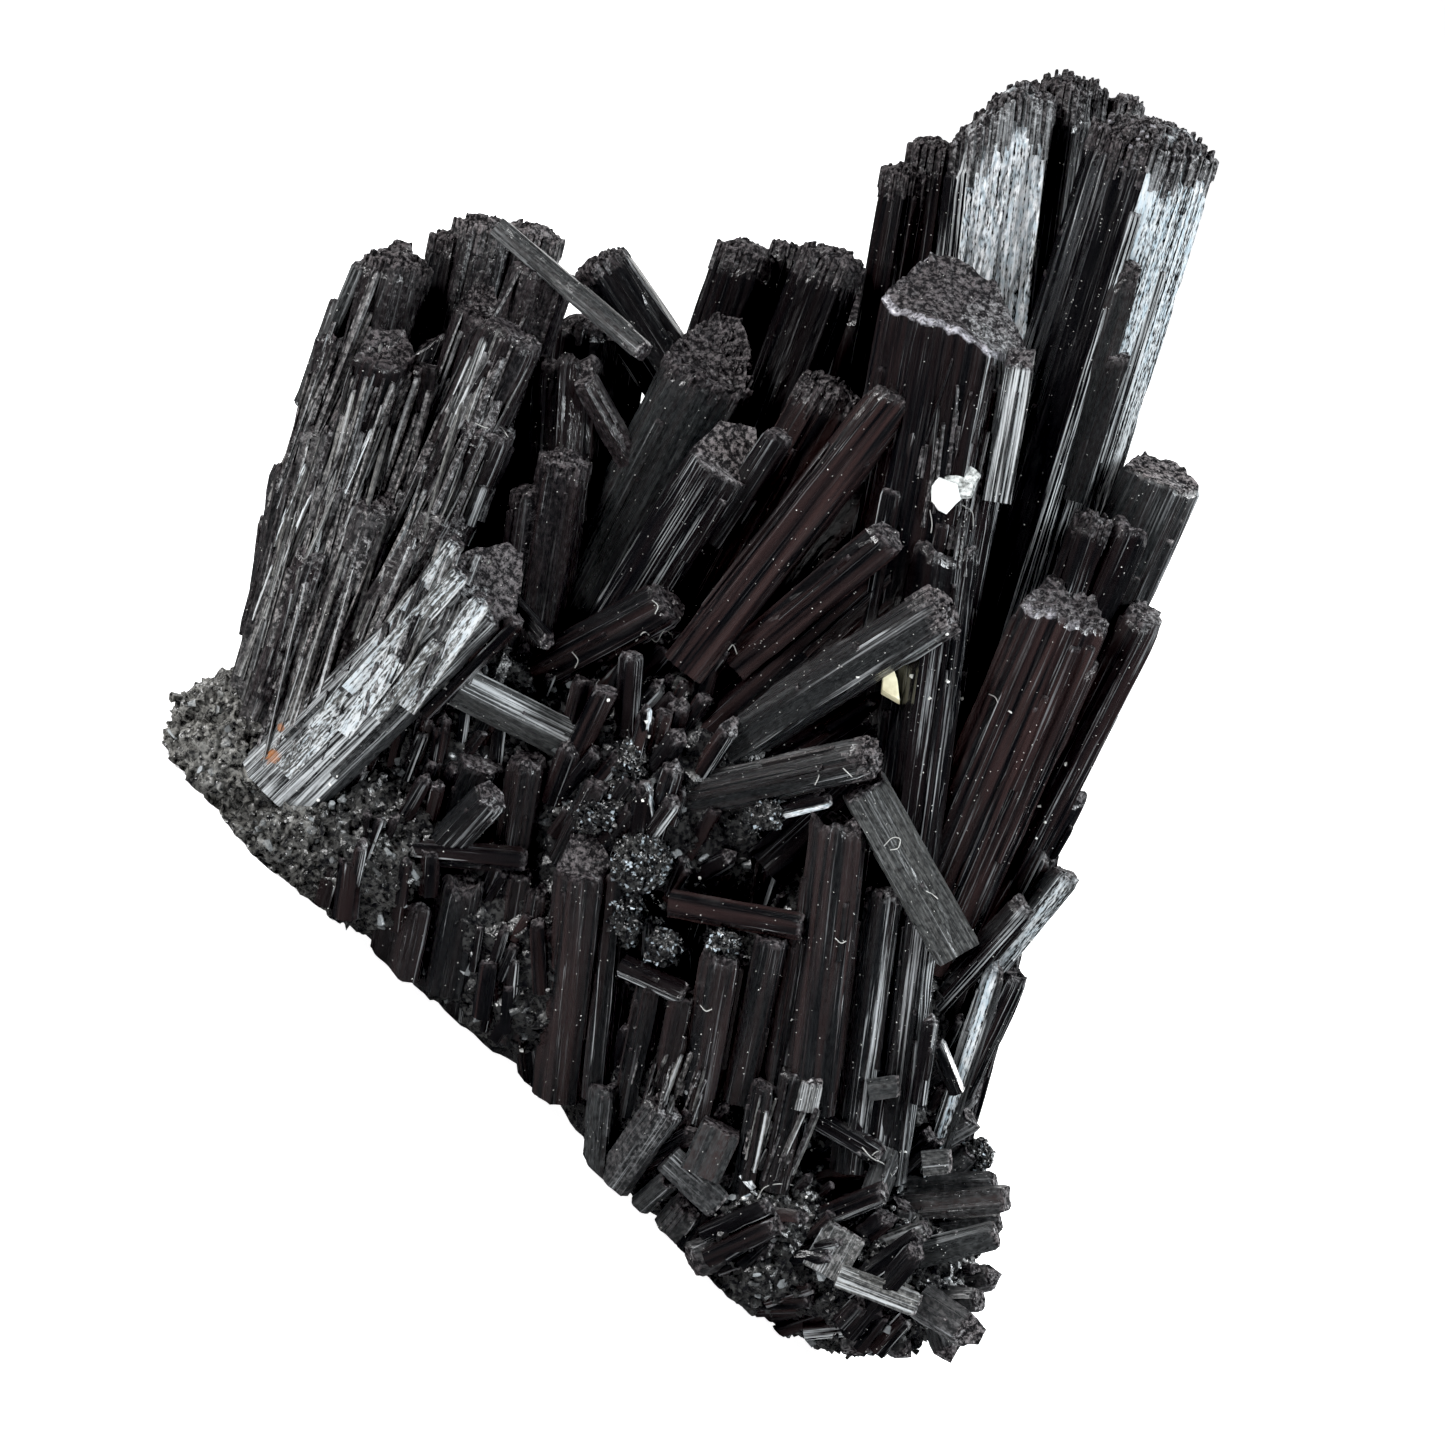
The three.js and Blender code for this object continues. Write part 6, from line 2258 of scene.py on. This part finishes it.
@dataclass(frozen=True)
class Studio:
    """The plain pale floor, the soft lights and the camera."""

    floor_reach: float = 4.0
    sensor: float = 36.0
    frame_pixels: int = 1445
    floor_glow: float = 0.98
    sky: Colour = (0.95, 0.97, 1.0, 1)
    sky_glow: float = 0.028
    black_level: float = 0.003
    floor: PlainFinish = PlainFinish("studio_floor", (0.93, 0.93, 0.94, 1), (0.92, 0.92, 0.93, 1), 0.9, 3)

    def lay_floor(self) -> None:
        """Lays the floor under the cluster."""
        reach = self.floor_reach
        mesh = bpy.data.meshes.new("studio_floor")
        corners = [(-reach, -reach, 0), (reach, -reach, 0), (reach, reach, 0), (-reach, reach, 0)]
        mesh.from_pydata(corners, [], [(0, 1, 2, 3)])
        material = self.floor.material()
        shader = material.node_tree.nodes["Principled BSDF"].inputs
        shader["Emission Color"].default_value = (1, 1, 1, 1)
        shader["Emission Strength"].default_value = self.floor_glow
        mesh.materials.append(material)
        ground = bpy.data.objects.new("studio_floor", mesh)
        bpy.context.scene.collection.objects.link(ground)
        ground.visible_glossy = False

    def set_world(self) -> None:
        """Makes the surroundings a plain pale grey."""
        world = bpy.data.worlds.new("studio_world")
        bpy.context.scene.world = world
        world.use_nodes = True
        sky = world.node_tree.nodes["Background"]
        sky.inputs["Color"].default_value = self.sky
        sky.inputs["Strength"].default_value = self.sky_glow

    def set_camera(self) -> None:
        """Stands the camera where the photograph was taken from."""
        lens = bpy.data.cameras.new("lens")
        lens.sensor_width = self.sensor
        across = self.frame_pixels * PICTURE.mm_per_pixel
        lens.lens = self.sensor * PICTURE.distance / across
        lens.clip_start = 0.01
        lens.clip_end = 20
        camera = bpy.data.objects.new("camera", lens)
        bpy.context.scene.collection.objects.link(camera)
        turned = Matrix([PICTURE.right, PICTURE.up, -PICTURE.away]).transposed().to_4x4()
        turned.translation = Vector(PICTURE.eye * MM)
        camera.matrix_world = turned
        bpy.context.scene.camera = camera

    def build(self) -> None:
        """Builds the whole studio."""
        view = bpy.context.scene.view_settings
        view.view_transform = "Standard"
        view.use_curve_mapping = True
        view.curve_mapping.black_level = (self.black_level,) * 3
        view.curve_mapping.update()
        self.lay_floor()
        self.set_world()
        self.set_camera()
        for lamp in LAMPS:
            lamp.hang()


def main() -> None:
    """Builds the pieces in order and reports each."""
    logging.basicConfig(level=logging.INFO, format="%(name)s %(message)s")
    striated = SchorlFinish().material()
    granular = GranularFinish().material()
    for group in GROUPS:
        group.grow()
        group.build(striated)
    for mass in (GRANULAR_ROOT, DRUSY_KNOBS):
        mass.grow()
        mass.build(granular)
    # bluish painted glints on a few grains of the drusy knobs
    drusy = GranularFinish("schorl_drusy", painted_glint=(0.5, 0.58, 0.64, 1)).material()
    KNOB_GRAINS.build(DRUSY_KNOBS.shell.mesh("knob_form"), drusy)
    ROOT_GRAINS.build(GRANULAR_ROOT.shell.mesh("root_form"), granular)
    shells = [group.shell for group in GROUPS]
    fibres, stubs = Fibres(), Stubs()
    fibres.grow(Surface(shells))
    fibres.build(striated)
    stubs.grow(Surface([GRANULAR_ROOT.shell]), Surface(shells))
    stubs.build(striated)
    surface = Surface([*shells, fibres.shell, stubs.shell, GRANULAR_ROOT.shell])
    dusty = PlainFinish("dust", (0.75, 0.75, 0.72, 1), (0.42, 0.42, 0.4, 1), 0.8).material()
    SPECKS.build(Dust().form(surface), dusty)
    BITS.build(cloud([surface.under(*spot) for spot in PALE_BITS], "bit_spots"), dusty)
    threads = PlainFinish("lint", (0.42, 0.42, 0.4, 1), (0.25, 0.25, 0.24, 1), 0.8).material()
    bring_in(Lint().mesh(surface), threads)
    for chip in (MICA, MICA_LEAF, FELDSPAR):
        chip.build()
    Studio().build()


if __name__ == "__main__":
    main()
